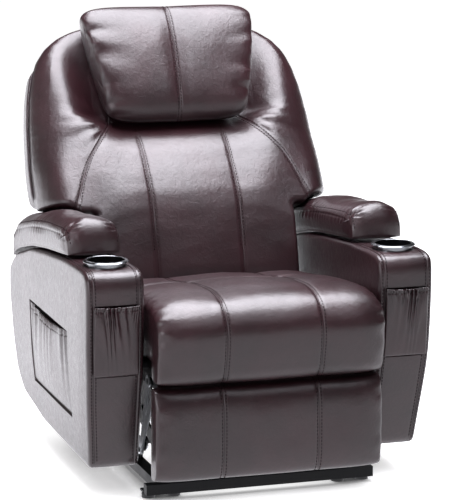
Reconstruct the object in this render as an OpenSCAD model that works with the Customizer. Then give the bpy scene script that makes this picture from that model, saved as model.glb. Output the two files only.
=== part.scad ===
// Massage chair: an upholstered power-lift recliner in glossy brown faux leather.
// X runs to the right, Y to the back and Z up. The origin is on the floor, under the middle.

/* [Arms] */
// Width over both arms
overall_w = 860; // [800:5:920]
// Width of one arm
arm_w = 139; // [125:1:155]
// Front face of an arm, ahead of the origin
arm_front = 436; // [415:1:450]
// Rear end of an arm, behind the origin
arm_rear = 405; // [390:1:415]
// Height of an arm's top at the cup holder
arm_top = 569; // [555:1:590]
// Height of an arm's underside above the floor
arm_bottom = 75; // [60:1:90]
// Thickness of an arm's padded skin
arm_skin = 8; // [5:1:9]
// How far an arm's outer face draws in at its foot
arm_tuck = 18; // [5:1:25]

/* [Arm pads] */
// Front of an arm pad, ahead of the origin
pad_front = 240; // [225:1:250]
// Rear end of an arm pad, behind the origin
pad_rear = 366; // [340:1:370]
// Height of a pad's side panel
pad_side_h = 58; // [45:1:62]
// Rise of a pad's crown above its side panel
pad_crown = 30; // [18:1:34]

/* [Cup holders] */
// Bore radius of a cup holder
cup_r = 44; // [38:0.5:46]
// Depth of a cup holder's bore
cup_depth = 78; // [60:1:90]
// Wall of a cup holder
cup_wall = 2.5; // [2:0.5:3]
// Width of the rim around the bore
cup_rim = 10; // [6:0.5:13]
// Centre of a cup holder, ahead of the origin
cup_front = 336; // [325:1:345]

/* [Pockets] */
// Height of a side pocket's window
side_pocket_h = 213; // [180:1:230]
// Length of a side pocket's window
side_pocket_w = 396; // [340:1:420]
// Lower edge of a side pocket above the floor
side_pocket_z = 174; // [160:1:190]
// Depth of a side pocket's window in the arm
side_pocket_depth = 20; // [14:1:24]
// How far a side pocket's elastic edge sags
side_pocket_sag = 16; // [8:1:22]
// Thickness of a pocket's panel
pocket_t = 3; // [2:0.5:4]
// Top edge of the front pocket above the floor
front_pocket_top = 482; // [460:1:495]
// Lower seam of the front pocket above the floor
front_pocket_low = 312; // [290:1:330]
// Depth of the front pocket in the arm
front_pocket_depth = 14; // [10:1:18]

/* [Seat] */
// Height of the seat cushion's crown
seat_top = 500; // [485:1:510]
// Height of the wooden seat box's top
deck_z = 347; // [340:1:355]
// Clearance between a cushion and an arm
side_gap = 8; // [6:1:12]
// Front of the seat cushion, ahead of the origin
seat_front = 524; // [515:1:530]
// Sunk depth of a stitched channel
channel_d = 6; // [3:1:9]
// Distance of the seat and footrest seams from the middle
seam_x = 118; // [100:1:135]

/* [Footrest] */
// Lower edge of the footrest above the floor
footrest_low = 58; // [54:1:70]
// Height of the footrest's upper edge
footrest_high = 284; // [275:1:286]
// Thickness of the footrest's padding
footrest_pad_t = 62; // [50:1:66]
// Thickness of the footrest's board
board_t = 12; // [9:1:14]

/* [Backrest] */
// Lean of the backrest from upright
lean = 25; // [22:1:28]
// Largest half width of the backrest
back_half_w = 388; // [370:1:400]
// Length of the backrest from the hip line to its top edge
back_top = 600; // [580:1:610]
// Depth of the back cushion at the hips
back_pad = 150; // [140:1:155]
// Depth of the rear cover behind the cushion
cover_depth = 54; // [48:1:60]
// Wall of the rear cover
cover_wall = 9; // [6:1:10]
// Gap between the crown of an arm pad and the wing of the backrest above it
wing_gap = 8; // [6:1:14]

/* [Headrest pillow] */
// Half width of the pillow at its upper edge
pillow_half_w = 238; // [215:1:245]
// Length of the pillow up the backrest
pillow_h = 320; // [290:1:325]
// Thickness of the pillow
pillow_t = 106; // [90:1:108]

/* [Base] */
// Radius of a foot
foot_r = 16; // [12:0.5:18]
// Height of a foot
foot_h = 14; // [10:1:18]
// Distance of the outer feet in from an arm's inner face
foot_inset = 20; // [14:1:28]
// Distance between an outer foot and the inner foot beside it
foot_pitch = 63; // [58:1:70]
// Distance of the front feet ahead of the origin
foot_front = 373; // [360:1:380]
// Distance of the rear feet behind the origin
foot_rear = 300; // [285:1:310]
// Width of a base rail
rail_w = 30; // [25:1:34]
// Height of a base rail
rail_h = 25; // [20:1:28]

/* [Linkage] */
// Radius of a pivot pin
pin_r = 6; // [5:0.25:7]
// Running clearance between a pin and its eye
pin_gap = 0.08; // [0.05:0.01:0.1]
// Thickness of a lift arm
lift_t = 5; // [4:0.5:6]
// Thickness of a footrest link
link_t = 4; // [3:0.5:5]
// Width of the links
link_w = 28; // [24:1:32]
// Slack in the eye at the loose end of a stay and of the lift motor's rod
loose_gap = 10; // [9:0.5:12]
// Radius of the tubes that turn the lift arms and the footrest's links
tube_r = 10; // [9:0.25:11]

/* [Hidden] */
$fn = 48;

leather = "#3f2d30";
leather_dark = "#2c1f22";
steel = "#8d8f92";
black = "#1b1b1d";
timber = "#b58b5c";

// ---- Shared places -------------------------------------------------------------------------
arm_out = overall_w / 2;
arm_in = arm_out - arm_w;
arm_mid = (arm_out + arm_in) / 2;
seat_half_w = arm_in - side_gap;

// Base: rails on feet
foot_x_out = arm_in - foot_inset;
foot_x_in = foot_x_out - foot_pitch;
rail_z = foot_h;
rail_top = rail_z + rail_h;
rail_x = (foot_x_in + foot_x_out) / 2;
bar_y_front = -foot_front - 27;
bar_half = foot_x_out + foot_r - 1;
rail_y0 = bar_y_front + 12.5;
rail_y1 = foot_rear + 25;

// X planes of the linkage, from the middle outwards
carriage_plate_x = foot_x_in - 12;
lift_x = carriage_plate_x + 20;
bracket_x = lift_x + 12;
carriage_rail_x = rail_x - rail_w / 2;
link_x = carriage_rail_x + rail_w + 7;

// Lift linkage, seen from the side as [y, z]
lift_root = [-150, rail_top + 26];
lift_tip = [230, rail_top + 26];
stay_root = [-343, rail_top + 21];
stay_tip = [-100, rail_top + 111];
torque_at = lift_root + [50, 0];
lever_x = 15;
lever_r = 100;
lever_a = 48;
lever_tip = [lift_root[0] + lever_r * cos(lever_a), lift_root[1] + lever_r * sin(lever_a)];
motor_root = [foot_rear, rail_top + 11];
motor_len = norm(lever_tip - motor_root);
motor_a = atan2(lever_tip[1] - motor_root[1], lever_tip[0] - motor_root[0]);
lift_rod_r = 10.9;
eye_half = pin_r + loose_gap + 6;

// Carriage rails carry the wooden seat box
carriage_z = deck_z - 55;
carriage_y0 = -410;
carriage_y1 = 235;
box_front = -441;
box_rear = 26;
box_t = 24;
box_half = carriage_rail_x + rail_w + 4;
cross_y = [-200, 150];
cross_w = 25;

// Footrest: it swings about one line, and each pair of links keeps a parallelogram
swing = [-472, 437];
board_y = -(seat_front - 26 - footrest_pad_t);
push_pin = [board_y + board_t + 11, footrest_high - 29];
drive_pin = [-350, carriage_z - rail_w / 2];
elbow = drive_pin + (push_pin - swing);
crank_r = 60;
crank_a = 42.5;
crank_pin = [drive_pin[0] + crank_r * sin(crank_a), drive_pin[1] - crank_r * cos(crank_a)];

// Backrest frame: local [x, v, u], v back from the hip's front surface, u up along the lean
hip = [0, 92, 562];
hinge = [200, carriage_z + 16];
low_half = seat_half_w - 7;
frame_x = carriage_rail_x + rail_w - 17;
pad_seat = 3;

function back_u(y, z) = (y - hip[1]) * sin(lean) + (z - hip[2]) * cos(lean);
function back_v(y, z) = (y - hip[1]) * cos(lean) - (z - hip[2]) * sin(lean);

// Height of an arm's top and of an arm pad's crown at y
arm_line = [[-arm_front, arm_top - 2], [-cup_front, arm_top], [-209, arm_top - 5], [-25, arm_top - 23],
            [127, arm_top - 43], [286, arm_top - 77], [334, arm_top - 93], [arm_rear, arm_top - 144]];
function arm_z(y) = between(y, arm_line);
function pad_z(y) = arm_z(y) + pad_seat + pad_side_h + pad_crown;

// Underside of the wings at depth v: it follows the crowns of the arm pads
wing_front_u = (pad_z(112) + wing_gap - hip[2]) / cos(lean);
wing_back_u = (pad_z(278) + wing_gap + 6 - hip[2] + back_pad * sin(lean)) / cos(lean);
function wing_u(v) = wing_front_u + (wing_back_u - wing_front_u) * v / back_pad;

// ---- Shape helpers -------------------------------------------------------------------------
function unit(a) = a / norm(a);
function smooth(t) = let (c = min(1, max(0, t))) c * c * (3 - 2 * c);
function puff(s, p, q) = pow(max(0, 1 - pow(min(1, abs(s)), p)), q);
function dent(d, w) = exp(-d * d / (w * w));

// Polygon with its corners rounded: each corner is [x, y, radius]
function round_corner(a, b, c, n) =
    let (p = [b[0], b[1]], u = unit([a[0], a[1]] - p), w = unit([c[0], c[1]] - p),
         half = acos(max(-1, min(1, u * w))) / 2, t = b[2] / tan(half),
         m = p + unit(u + w) * b[2] / sin(half),
         a0 = atan2((p + u * t - m)[1], (p + u * t - m)[0]),
         a1 = atan2((p + w * t - m)[1], (p + w * t - m)[0]),
         d = (a1 - a0 + 540) % 360 - 180)
    b[2] <= 0 ? [p] : [for (i = [0:n]) m + b[2] * [cos(a0 + d * i / n), sin(a0 + d * i / n)]];

function rounded(pts, n = 6) =
    let (k = len(pts))
    [for (i = [0:k - 1]) each round_corner(pts[(i + k - 1) % k], pts[i], pts[(i + 1) % k], n)];

// The same corners moved inwards by d, for an anticlockwise outline
function inset(pts, d) =
    let (k = len(pts))
    [for (i = [0:k - 1])
        let (p = [pts[i][0], pts[i][1]],
             a = unit(p - [pts[(i + k - 1) % k][0], pts[(i + k - 1) % k][1]]),
             b = unit([pts[(i + 1) % k][0], pts[(i + 1) % k][1]] - p),
             na = [-a[1], a[0]], nb = [-b[1], b[0]], m = (na + nb) / (1 + na * nb))
        [p[0] + m[0] * d, p[1] + m[1] * d, max(0.5, pts[i][2] - d)]];

// Straight-line lookup in a list of [input, output] pairs
function between(t, rows, i = 0) =
    t <= rows[0][0] ? rows[0][1]
    : i >= len(rows) - 1 ? rows[len(rows) - 1][1]
    : t <= rows[i + 1][0]
        ? rows[i][1] + (rows[i + 1][1] - rows[i][1]) * (t - rows[i][0]) / (rows[i + 1][0] - rows[i][0])
    : between(t, rows, i + 1);

module both() {
    children();
    mirror([1, 0, 0]) children();
}

// A side-view outline [y, z] given a thickness from x0 to x1
module slab(x0, x1, pts) {
    translate([x0, 0, 0]) rotate([90, 0, 90]) linear_extrude(x1 - x0) polygon(pts);
}

module x_rod(r, x0, x1, at) {
    translate([x0, at[0], at[1]]) rotate([0, 90, 0]) cylinder(r = r, h = x1 - x0);
}

// A flat link with round ends between two side-view points, the second end as wide as its eye needs
module link(x0, x1, a, b, w, eye = 0) {
    d = b - a;
    translate([x0, a[0], a[1]]) rotate([90, 0, 90]) linear_extrude(x1 - x0) {
        circle(d = w);
        rotate(atan2(d[1], d[0])) translate([0, -w / 2]) square([norm(d), w]);
        translate(d) circle(d = max(w, eye));
    }
}

// Outline of a bar that widens from radius ra at a to radius rb at b
function taper(a, b, ra, rb, n = 14) =
    let (d = b - a, t = atan2(d[1], d[0]), q = acos((ra - rb) / norm(d)))
    concat([for (i = [0:n]) let (w = t + q + (360 - 2 * q) * i / n) a + ra * [cos(w), sin(w)]],
           [for (i = [0:n]) let (w = t - q + 2 * q * i / n) b + rb * [cos(w), sin(w)]]);

module box(x0, x1, y0, y1, z0, z1) {
    translate([x0, y0, z0]) cube([x1 - x0, y1 - y0, z1 - z0]);
}

// Closed skin through rings of points, each ring with the same number of points
module skin(rings) {
    m = len(rings);
    n = len(rings[0]);
    mid = function(ring) [for (k = [0:2]) [for (p = ring) p[k]] * [for (p = ring) 1] / len(ring)];
    side = [for (i = [0:m - 2]) for (j = [0:n - 1])
        let (k = (j + 1) % n, a = i * n + j, b = i * n + k, c = a + n, d = b + n)
        each [[a, b, d], [a, d, c]]];
    caps = [for (j = [0:n - 1]) let (k = (j + 1) % n)
        each [[m * n, k, j], [m * n + 1, (m - 1) * n + j, (m - 1) * n + k]]];
    polyhedron(concat([for (r = rings) each r], [mid(rings[0]), mid(rings[m - 1])]),
               concat(side, caps), convexity = 6);
}

// ---- Base ----------------------------------------------------------------------------------
module base_side_rails() color(black) both()
    box(rail_x - rail_w / 2, rail_x + rail_w / 2, rail_y0, rail_y1, rail_z, rail_top);

module base_front_bar() color(black) {
    box(-bar_half, bar_half, bar_y_front - 12.5, bar_y_front + 12.5, rail_z, rail_top);
    both() box(rail_x + rail_w / 2, foot_x_out + foot_r, bar_y_front + 12.5, -foot_front + foot_r,
               rail_z, rail_z + 5);
    both() box(foot_x_in - foot_r, rail_x - rail_w / 2, bar_y_front + 12.5, -foot_front + foot_r,
               rail_z, rail_z + 5);
}

module base_rear_bar() color(black) {
    box(-bar_half, bar_half, rail_y1, rail_y1 + 25, rail_z, rail_top);
    both() box(rail_x + rail_w / 2, foot_x_out + foot_r, foot_rear - foot_r, rail_y1, rail_z, rail_z + 5);
    both() box(foot_x_in - foot_r, rail_x - rail_w / 2, foot_rear - foot_r, rail_y1, rail_z, rail_z + 5);
    // Ears that hold the lift motor's foot pin
    both() slab(16, 22, rounded([[motor_root[0] - 14, rail_top, 0], [rail_y1 + 25, rail_top, 0],
                                 [motor_root[0] + 14, motor_root[1] + 14, 8],
                                 [motor_root[0] - 14, motor_root[1] + 14, 8]]));
    box(-22, 22, motor_root[0] - 14, rail_y1, rail_z, rail_z + 5);
    both() box(16, 22, motor_root[0] - 14, rail_y1, rail_z + 5, rail_top);
    x_rod(pin_r, -16, 16, motor_root);
}

module base_feet() color(black)
    for (x = [foot_x_in, foot_x_out], s = [-1, 1], y = [-foot_front, foot_rear])
        translate([s * x, y, 0]) {
            cylinder(r = foot_r, h = foot_h - 4);
            translate([0, 0, foot_h - 4]) cylinder(r = foot_r * 0.7, h = 4);
        }

// A plate on a base rail with a hole for one pivot pin
module base_ear(at) {
    difference() {
        slab(bracket_x, bracket_x + 5, rounded([[at[0] - 26, rail_top, 0], [at[0] + 26, rail_top, 0],
                                                [at[0] + 13, at[1] + 14, 10],
                                                [at[0] - 13, at[1] + 14, 10]]));
        x_rod(pin_r, bracket_x - 1, bracket_x + 6, at);
    }
}

module base_pivot_brackets() color(black) both() {
    base_ear(lift_root);
    base_ear(stay_root);
}

// Each pin is fixed in its base ear and carries the eye of a lift arm or a stay
module base_pivot_pins() color(steel) both() for (at = [lift_root, stay_root]) {
    x_rod(pin_r, lift_x - 3, bracket_x + 5, at);
    x_rod(pin_r + 4, bracket_x + 5, bracket_x + 9, at);
    x_rod(pin_r + 4, lift_x - 6, lift_x - 3, at);
}

module power_supply() color(black) difference() {
    box(60, 150, rail_y1 - 62, rail_y1, rail_z, rail_z + 42);
    // Socket for the mains lead
    box(92, 118, rail_y1 - 63, rail_y1 - 50, rail_z + 12, rail_z + 30);
}

// ---- Lift ----------------------------------------------------------------------------------
module lift_arms() color(steel) both() difference() {
    link(lift_x, lift_x + lift_t, lift_root, lift_tip, link_w);
    x_rod(pin_r + pin_gap, lift_x - 1, lift_x + lift_t + 1, lift_root);
    x_rod(pin_r, lift_x - 1, lift_x + lift_t + 1, lift_tip);
}

// Tube between the lift arms, with the pair of levers that the lift motor's rod pushes
module lift_torque_tube() color(steel) {
    x_rod(tube_r, -lift_x, lift_x, torque_at);
    both() x_rod(pin_r, carriage_plate_x - 9, lift_x + lift_t + 4, lift_tip);
    both() difference() {
        link(lever_x, lever_x + lift_t, torque_at, lever_tip, link_w);
        x_rod(pin_r, lever_x - 1, lever_x + lift_t + 1, lever_tip);
        x_rod(tube_r, lever_x - 1, lever_x + lift_t + 1, torque_at);
    }
    x_rod(pin_r, -lever_x - lift_t - 3, lever_x + lift_t + 3, lever_tip);
}

module lift_stays() color(steel) both() difference() {
    slab(lift_x, lift_x + lift_t, taper(stay_root, stay_tip, link_w / 2, eye_half));
    x_rod(pin_r + pin_gap, lift_x - 1, lift_x + lift_t + 1, stay_root);
    x_rod(pin_r + loose_gap, lift_x - 1, lift_x + lift_t + 1, stay_tip);
}

// The actuator lies along the line from its foot pin to the lever: local X runs along it
module along_lift_motor() {
    translate([0, motor_root[0], motor_root[1]]) rotate([motor_a, 0, 0]) children();
}

module lift_motor() color(black) along_lift_motor() difference() {
    union() {
        rotate([-90, 0, 0]) translate([0, 0, 26]) cylinder(r = 17, h = 234);
        box(-14, 14, -9, 26, -12, 12);
        box(-24, 24, 24, 92, -20, 20);
        translate([0, 58, -50]) cylinder(r = 21, h = 36);
        box(-17, 17, 41, 75, -30, -12);
    }
    translate([-30, 0, 0]) rotate([0, 90, 0]) cylinder(r = pin_r + pin_gap, h = 60);
    rotate([-90, 0, 0]) translate([0, 0, 100]) cylinder(r = lift_rod_r + pin_gap, h = 200);
}

module lift_rod() color(steel) along_lift_motor() {
    rotate([-90, 0, 0]) translate([0, 0, 104]) cylinder(r = lift_rod_r, h = motor_len - eye_half - 104);
    difference() {
        box(-lever_x + 3, lever_x - 3, motor_len - eye_half, motor_len + eye_half, -eye_half, eye_half);
        translate([-20, motor_len, 0]) rotate([0, 90, 0]) cylinder(r = pin_r + loose_gap, h = 40);
    }
}

// ---- Carriage ------------------------------------------------------------------------------
module carriage_rails() color(steel) both() difference() {
    box(carriage_rail_x, carriage_rail_x + rail_w, carriage_y0, carriage_y1, carriage_z - rail_w, carriage_z);
    x_rod(tube_r + pin_gap, carriage_rail_x - 1, carriage_rail_x + rail_w + 1, drive_pin);
}

module carriage_cross_tubes() color(steel) for (y = cross_y)
    box(-carriage_rail_x, carriage_rail_x, y, y + cross_w, carriage_z - cross_w - 3, carriage_z - 3);

// Plates that hang from the rails and hold the lift arms' and stays' pins
module carriage_lift_plates() color(steel) both() difference() {
    slab(carriage_plate_x, carriage_plate_x + 4,
         rounded([[stay_tip[0] - 22, stay_tip[1] - 16, 12], [lift_tip[0] - 30, lift_tip[1] - 16, 10],
                  [lift_tip[0] + 18, lift_tip[1] - 16, 14], [lift_tip[0] + 18, lift_tip[1] + 20, 14],
                  [180, stay_tip[1] + 40, 20], [180, carriage_z, 0], [-150, carriage_z, 0],
                  [-150, stay_tip[1] + 20, 10]]));
    for (y = cross_y)
        box(carriage_plate_x - 1, carriage_plate_x + 5, y, y + cross_w,
            carriage_z - cross_w - 3, carriage_z - 3);
    x_rod(pin_r + pin_gap, carriage_plate_x - 1, carriage_plate_x + 5, lift_tip);
    x_rod(pin_r, carriage_plate_x - 1, carriage_plate_x + 5, stay_tip);
}

module carriage_pins() color(steel) both() {
    x_rod(pin_r, carriage_plate_x, lift_x + lift_t + 3, stay_tip);
    x_rod(pin_r + 4, carriage_plate_x - 3, carriage_plate_x, stay_tip);
    x_rod(pin_r + 4, lift_x + lift_t + 3, lift_x + lift_t + 5, stay_tip);
}

// Ears on the rails' rear ends with the pins that the backrest turns on
module recline_brackets() color(steel) both() {
    slab(carriage_rail_x + 2, carriage_rail_x + 7,
         rounded([[hinge[0] - 30, carriage_z, 0], [hinge[0] + 30, carriage_z, 0],
                  [hinge[0] + 13, hinge[1] + 14, 10], [hinge[0] - 13, hinge[1] + 14, 10]]));
    x_rod(pin_r, carriage_rail_x + 7, frame_x + 26, hinge);
}

// The motor housing hangs from the front cross tube and its rod runs forwards
module recline_motor() color(black) difference() {
    union() {
        translate([0, -205, crank_pin[1] - 8]) rotate([-90, 0, 0]) cylinder(r = 16, h = 190);
        box(-22, 22, -70, 0, crank_pin[1] - 28, crank_pin[1] + 14);
        box(-18, 18, cross_y[0] + 2, cross_y[0] + cross_w - 3, crank_pin[1] - 8, carriage_z - cross_w - 3);
        translate([0, -35, crank_pin[1] - 60]) cylinder(r = 19, h = 34);
    }
    translate([0, -206, crank_pin[1] - 8]) rotate([-90, 0, 0]) cylinder(r = 10, h = 130);
}

// Rod with an upright slot in its end, in which the drive tube's crank pin slides
module recline_rod() color(steel) difference() {
    union() {
        translate([0, crank_pin[0] + 16, crank_pin[1] - 8]) rotate([-90, 0, 0])
            cylinder(r = 9.9, h = -90 - crank_pin[0] - 16);
        box(-6, 6, crank_pin[0] - 18, crank_pin[0] + 18, crank_pin[1] - 34, crank_pin[1] + 18);
    }
    box(-7, 7, crank_pin[0] - 10.5, crank_pin[0] + 10.5, crank_pin[1] - 26, crank_pin[1] + 10);
}

module control_box() color(black) difference() {
    x1 = carriage_plate_x - 26;
    box(x1 - 100, x1, 60, 132, carriage_z - 40, carriage_z - 2);
    // Sockets for the handset and the two actuators
    for (x = [x1 - 80, x1 - 54]) box(x, x + 14, 59, 70, carriage_z - 30, carriage_z - 16);
}

// ---- Seat ----------------------------------------------------------------------------------
arm_bolts_at = [[-330, carriage_z + 26], [-20, carriage_z + 26]];

module seat_box() color(timber) difference() {
    box(-box_half, box_half, box_front, box_rear, carriage_z, deck_z);
    box(-box_half + box_t, box_half - box_t, box_front + box_t, box_rear - box_t, carriage_z - 1, deck_z + 1);
    for (at = arm_bolts_at) both() x_rod(4.4, box_half - box_t - 1, box_half + 1, at);
}

// Zigzag springs drawn as bent wires across the box
module seat_springs() color(steel) {
    pitch = (box_half - box_t - 54.5) / 2;
    for (k = [-2:2]) let (x = k * pitch) {
        box(x - 28, x - 24, box_front + box_t, box_rear - box_t, deck_z - 10, deck_z - 6);
        box(x + 24, x + 28, box_front + box_t, box_rear - box_t, deck_z - 10, deck_z - 6);
        for (i = [0:7]) let (y = box_front + box_t + 18 + i * (box_rear - box_front - 2 * box_t - 36) / 7)
            box(x - 24, x + 24, y - 2, y + 2, deck_z - 10, deck_z - 6);
    }
}

module seat_massage_motors() color(black) for (x = [-135, 135], y = [-300, -100])
    translate([x, y, deck_z - 36]) cylinder(r = 20, h = 26);

// Side view of the seat cushion: from the rear, over the crown and down the front roll
seat_low = footrest_high + 9;
seat_rear = box_rear - 4;
seat_line = [
    [seat_rear, deck_z + 0.5, 0, 0], [seat_rear + 6, deck_z + 40, -6, 0],
    [seat_rear + 4, deck_z + 84, -8, -6], [seat_rear - 18, seat_top - 47, -6, -14],
    [seat_rear - 90, seat_top - 39, 0, -20], [-160, seat_top - 24, 0, -24],
    [-260, seat_top - 9, 0, -26], [-340, seat_top - 2, 0, -28], [-400, seat_top, 4, -28],
    [-450, seat_top - 6, 12, -26], [-487, seat_top - 21, 20, -20], [-511, seat_top - 46, 24, -8],
    [-seat_front, seat_top - 82, 26, 0], [-seat_front + 1, seat_top - 122, 26, 0],
    [-seat_front + 8, seat_top - 160, 24, 0], [-seat_front + 16, seat_top - 186, 20, 4],
    [-seat_front + 34, seat_low + 2, 10, 8], [-seat_front + 56, seat_low, 0, 8],
    [box_front - 4, seat_low + 12, 0, 0], [box_front - 3, deck_z - 24, 0, 0],
    [box_front - 3, deck_z + 0.5, 0, 0],
    [-300, deck_z + 0.5, 0, 0], [-150, deck_z + 0.5, 0, 0]
];
function seat_ring(x) =
    let (s = x / seat_half_w, k = 1 - puff(s, 7, 0.6),
         g = dent(abs(x) - seam_x, 9) * channel_d)
    [for (j = [0:len(seat_line) - 1])
        let (p = seat_line[j],
             top = p[1] > deck_z + 60 ? 1 : 0,
             front = p[0] < box_front - 30 && p[1] < seat_top - 30 ? 1 : 0,
             crown = top * 7 * (1 - s * s) - 7 * top,
             cross = j == 5 ? channel_d : 0)
        [x - 3 * s * k,
         p[0] + p[2] * k + g * front,
         p[1] + p[3] * k + crown - g * top * (1 - front) - cross]];

module seat_cushion() color(leather)
    skin([for (t = [1, 0.985, 0.95, 0.87, 0.75, 0.6, 0.47, seam_x / seat_half_w, 0.36, 0.2, 0,
                    -0.2, -0.36, -seam_x / seat_half_w, -0.47, -0.6, -0.75, -0.87, -0.95, -0.985, -1])
        seat_ring(t * seat_half_w)]);

// ---- Arms ----------------------------------------------------------------------------------
arm_side = [
    [-arm_front + 64, arm_bottom, 10], [100, arm_bottom + 4, 60], [arm_rear - 74, arm_bottom + 38, 50],
    [arm_rear - 36, arm_bottom + 90, 60], [arm_rear - 17, 260, 80], [arm_rear, arm_z(arm_rear) - 2, 14],
    [334, arm_z(334), 60], [286, arm_z(286), 60], [127, arm_z(127), 150], [-25, arm_z(-25), 150],
    [-209, arm_z(-209), 150], [-336, arm_z(-336), 100], [-arm_front, arm_z(-arm_front), 26],
    [-arm_front, 470, 60], [-arm_front + 11, front_pocket_low, 100]
];
arm_front_view = [
    [arm_in, arm_bottom - 20, 0], [arm_out - arm_tuck - 2, arm_bottom - 20, 0],
    [arm_out - arm_tuck, arm_bottom + 10, 20],
    [arm_out - arm_tuck * 0.25, arm_bottom + 170, 60], [arm_out, arm_bottom + 290, 60], [arm_out, 620, 0],
    [arm_in, 620, 0]
];

module arm_solid(d) intersection() {
    slab(arm_in + d, arm_out - d, rounded(inset(arm_side, d), 4));
    translate([0, 450, 0]) rotate([90, 0, 0]) linear_extrude(1000)
        polygon(rounded(inset(arm_front_view, d), 5));
}

side_pocket_y0 = -240;
side_pocket_y1 = side_pocket_y0 + side_pocket_w;
side_pocket_z1 = side_pocket_z + side_pocket_h;

module arm_cover() difference() {
    arm_solid(0);
    difference() {
        arm_solid(arm_skin);
        // Solid blocks behind the pockets, and round the cup holder
        box(arm_in - 1, arm_out + 1, -arm_front - 1, -arm_front + front_pocket_depth + 6 + arm_skin,
            front_pocket_low - 8, front_pocket_top + 8);
        box(arm_out - side_pocket_depth - arm_skin, arm_out + 1, side_pocket_y0 - 8, side_pocket_y1 + 8,
            side_pocket_z - 8, side_pocket_z1 + 8);
    }
    // Pocket windows
    box(arm_in + 5, arm_out - 5, -arm_front - 1, -arm_front + front_pocket_depth + 6,
        front_pocket_low, front_pocket_top);
    box(arm_out - side_pocket_depth, arm_out + 1, side_pocket_y0, side_pocket_y1,
        side_pocket_z, side_pocket_z1);
    // Hole for the cup holder
    translate([arm_mid, -cup_front, arm_top - cup_depth - 60])
        cylinder(r = cup_r + cup_wall + 0.5, h = cup_depth + 100);
    // Holes for the arm bolts
    for (at = arm_bolts_at) x_rod(4.4, arm_in - 1, arm_in + arm_skin + 1, at);
}
module arm_cover_right() color(leather) arm_cover();
module arm_cover_left() color(leather) mirror([1, 0, 0]) arm_cover();

frame_in = arm_in + arm_skin + 3;
frame_out = arm_out - side_pocket_depth - arm_skin - 6;
frame_low = arm_bottom + arm_skin + 12;

module arm_frame() difference() {
    union() {
        box(frame_in, frame_out, -320, 140, frame_low, frame_low + 25);
        box(frame_in, frame_out, -250, -220, frame_low + 25, arm_z(-215) - arm_skin - 25);
        box(frame_in, frame_out, 110, 140, frame_low + 25, arm_z(145) - arm_skin - 25);
        box(frame_in, frame_out, -250, 140, arm_z(145) - arm_skin - 50, arm_z(145) - arm_skin - 25);
        box(frame_in, frame_in + 25, -350, 110, carriage_z + 4, carriage_z + 48);
    }
    for (at = arm_bolts_at) x_rod(4.4, frame_in - 1, frame_in + 26, at);
}
module arm_frame_right() color(timber) arm_frame();
module arm_frame_left() color(timber) mirror([1, 0, 0]) arm_frame();

module arm_spacers() color(black) for (at = arm_bolts_at) both() difference() {
    x_rod(14, box_half, arm_in, at);
    x_rod(4.4, box_half - 1, arm_in + 1, at);
}

module arm_bolts() color(steel) for (at = arm_bolts_at) both() {
    x_rod(4, box_half - box_t - 3, frame_in + 25, at);
    x_rod(8, box_half - box_t - 8, box_half - box_t, at);
    x_rod(8, frame_in + 25, frame_in + 31, at);
}

// Arm pad: boxed cushion on the rear part of the arm, flat below and crowned above
pad_half = arm_w / 2 - 2.5;
pad_len = pad_front + pad_rear;
// Ring at t along a pad; f below 1 draws it in towards its middle, for the domed ends
function pad_ring(t, f = 1) =
    let (s = 2 * t - 1, y0 = -pad_front + pad_len * t, k = 1 - puff(s, 10, 0.5),
         fade = t > 0.9 ? smooth((1 - t) / 0.1) : 1,
         side = pad_side_h * (0.45 + 0.55 * fade), crown = pad_crown * (0.5 + 0.5 * fade),
         w = pad_half - 7 * k, ends = (t < 0.5 ? 1 : -1) * (1 - smooth(min(t, 1 - t) / 0.22)),
         bow = function(x, roll) y0 + (pow(x / pad_half, 2) * (t < 0.5 ? 60 : 30) + roll) * ends,
         on_arm = function(x, y, rise) [arm_mid + x, y, arm_z(y) + pad_seat + rise],
         ring = concat(
             [for (x = [-1, -0.5, 0, 0.5, 1]) on_arm(x * w, bow(x * w, 6), 0)],
             [on_arm(w + 2, bow(w, 0), side * 0.5 - 3 * k)],
             [for (i = [0:6]) let (x = 1 - i / 3)
                 on_arm(x * w, bow(x * w, 24), side + crown * puff(x, 2.4, 0.9) - (6 + 16 * fade) * k)],
             [on_arm(-w - 2, bow(w, 0), side * 0.5 - 3 * k)]),
         mid_z = arm_z(y0 + 16 * ends) + pad_seat + side * 0.6)
    [for (p = ring) [arm_mid + (p[0] - arm_mid) * f, y0 + (p[1] - y0) * f * f, mid_z + (p[2] - mid_z) * f]];
module arm_pad() skin(concat(
    [pad_ring(0, 0.5)],
    [for (t = [0, 0.015, 0.05, 0.12, 0.2, 0.3, 0.4, 0.5, 0.6, 0.7, 0.8, 0.88, 0.94, 0.975, 1]) pad_ring(t)],
    [pad_ring(1, 0.5)]
));
module arm_pad_right() color(leather) arm_pad();
module arm_pad_left() color(leather) mirror([1, 0, 0]) arm_pad();

module cup_holder() translate([arm_mid, -cup_front, arm_top]) difference() {
    union() {
        translate([0, 0, -cup_depth - cup_wall]) cylinder(r = cup_r + cup_wall, h = cup_depth + cup_wall);
        rotate_extrude() polygon([[cup_r, 1.5], [cup_r + cup_rim, 1.5], [cup_r + cup_rim, 2.5],
                                  [cup_r + cup_rim - 3, 5], [cup_r + 2, 6], [cup_r, 5]]);
        cylinder(r = cup_r + cup_wall, h = 2);
    }
    translate([0, 0, -cup_depth]) cylinder(r = cup_r, h = cup_depth + 20);
}
module cup_holder_right() color(steel) cup_holder();
module cup_holder_left() color(steel) mirror([1, 0, 0]) cup_holder();

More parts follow.
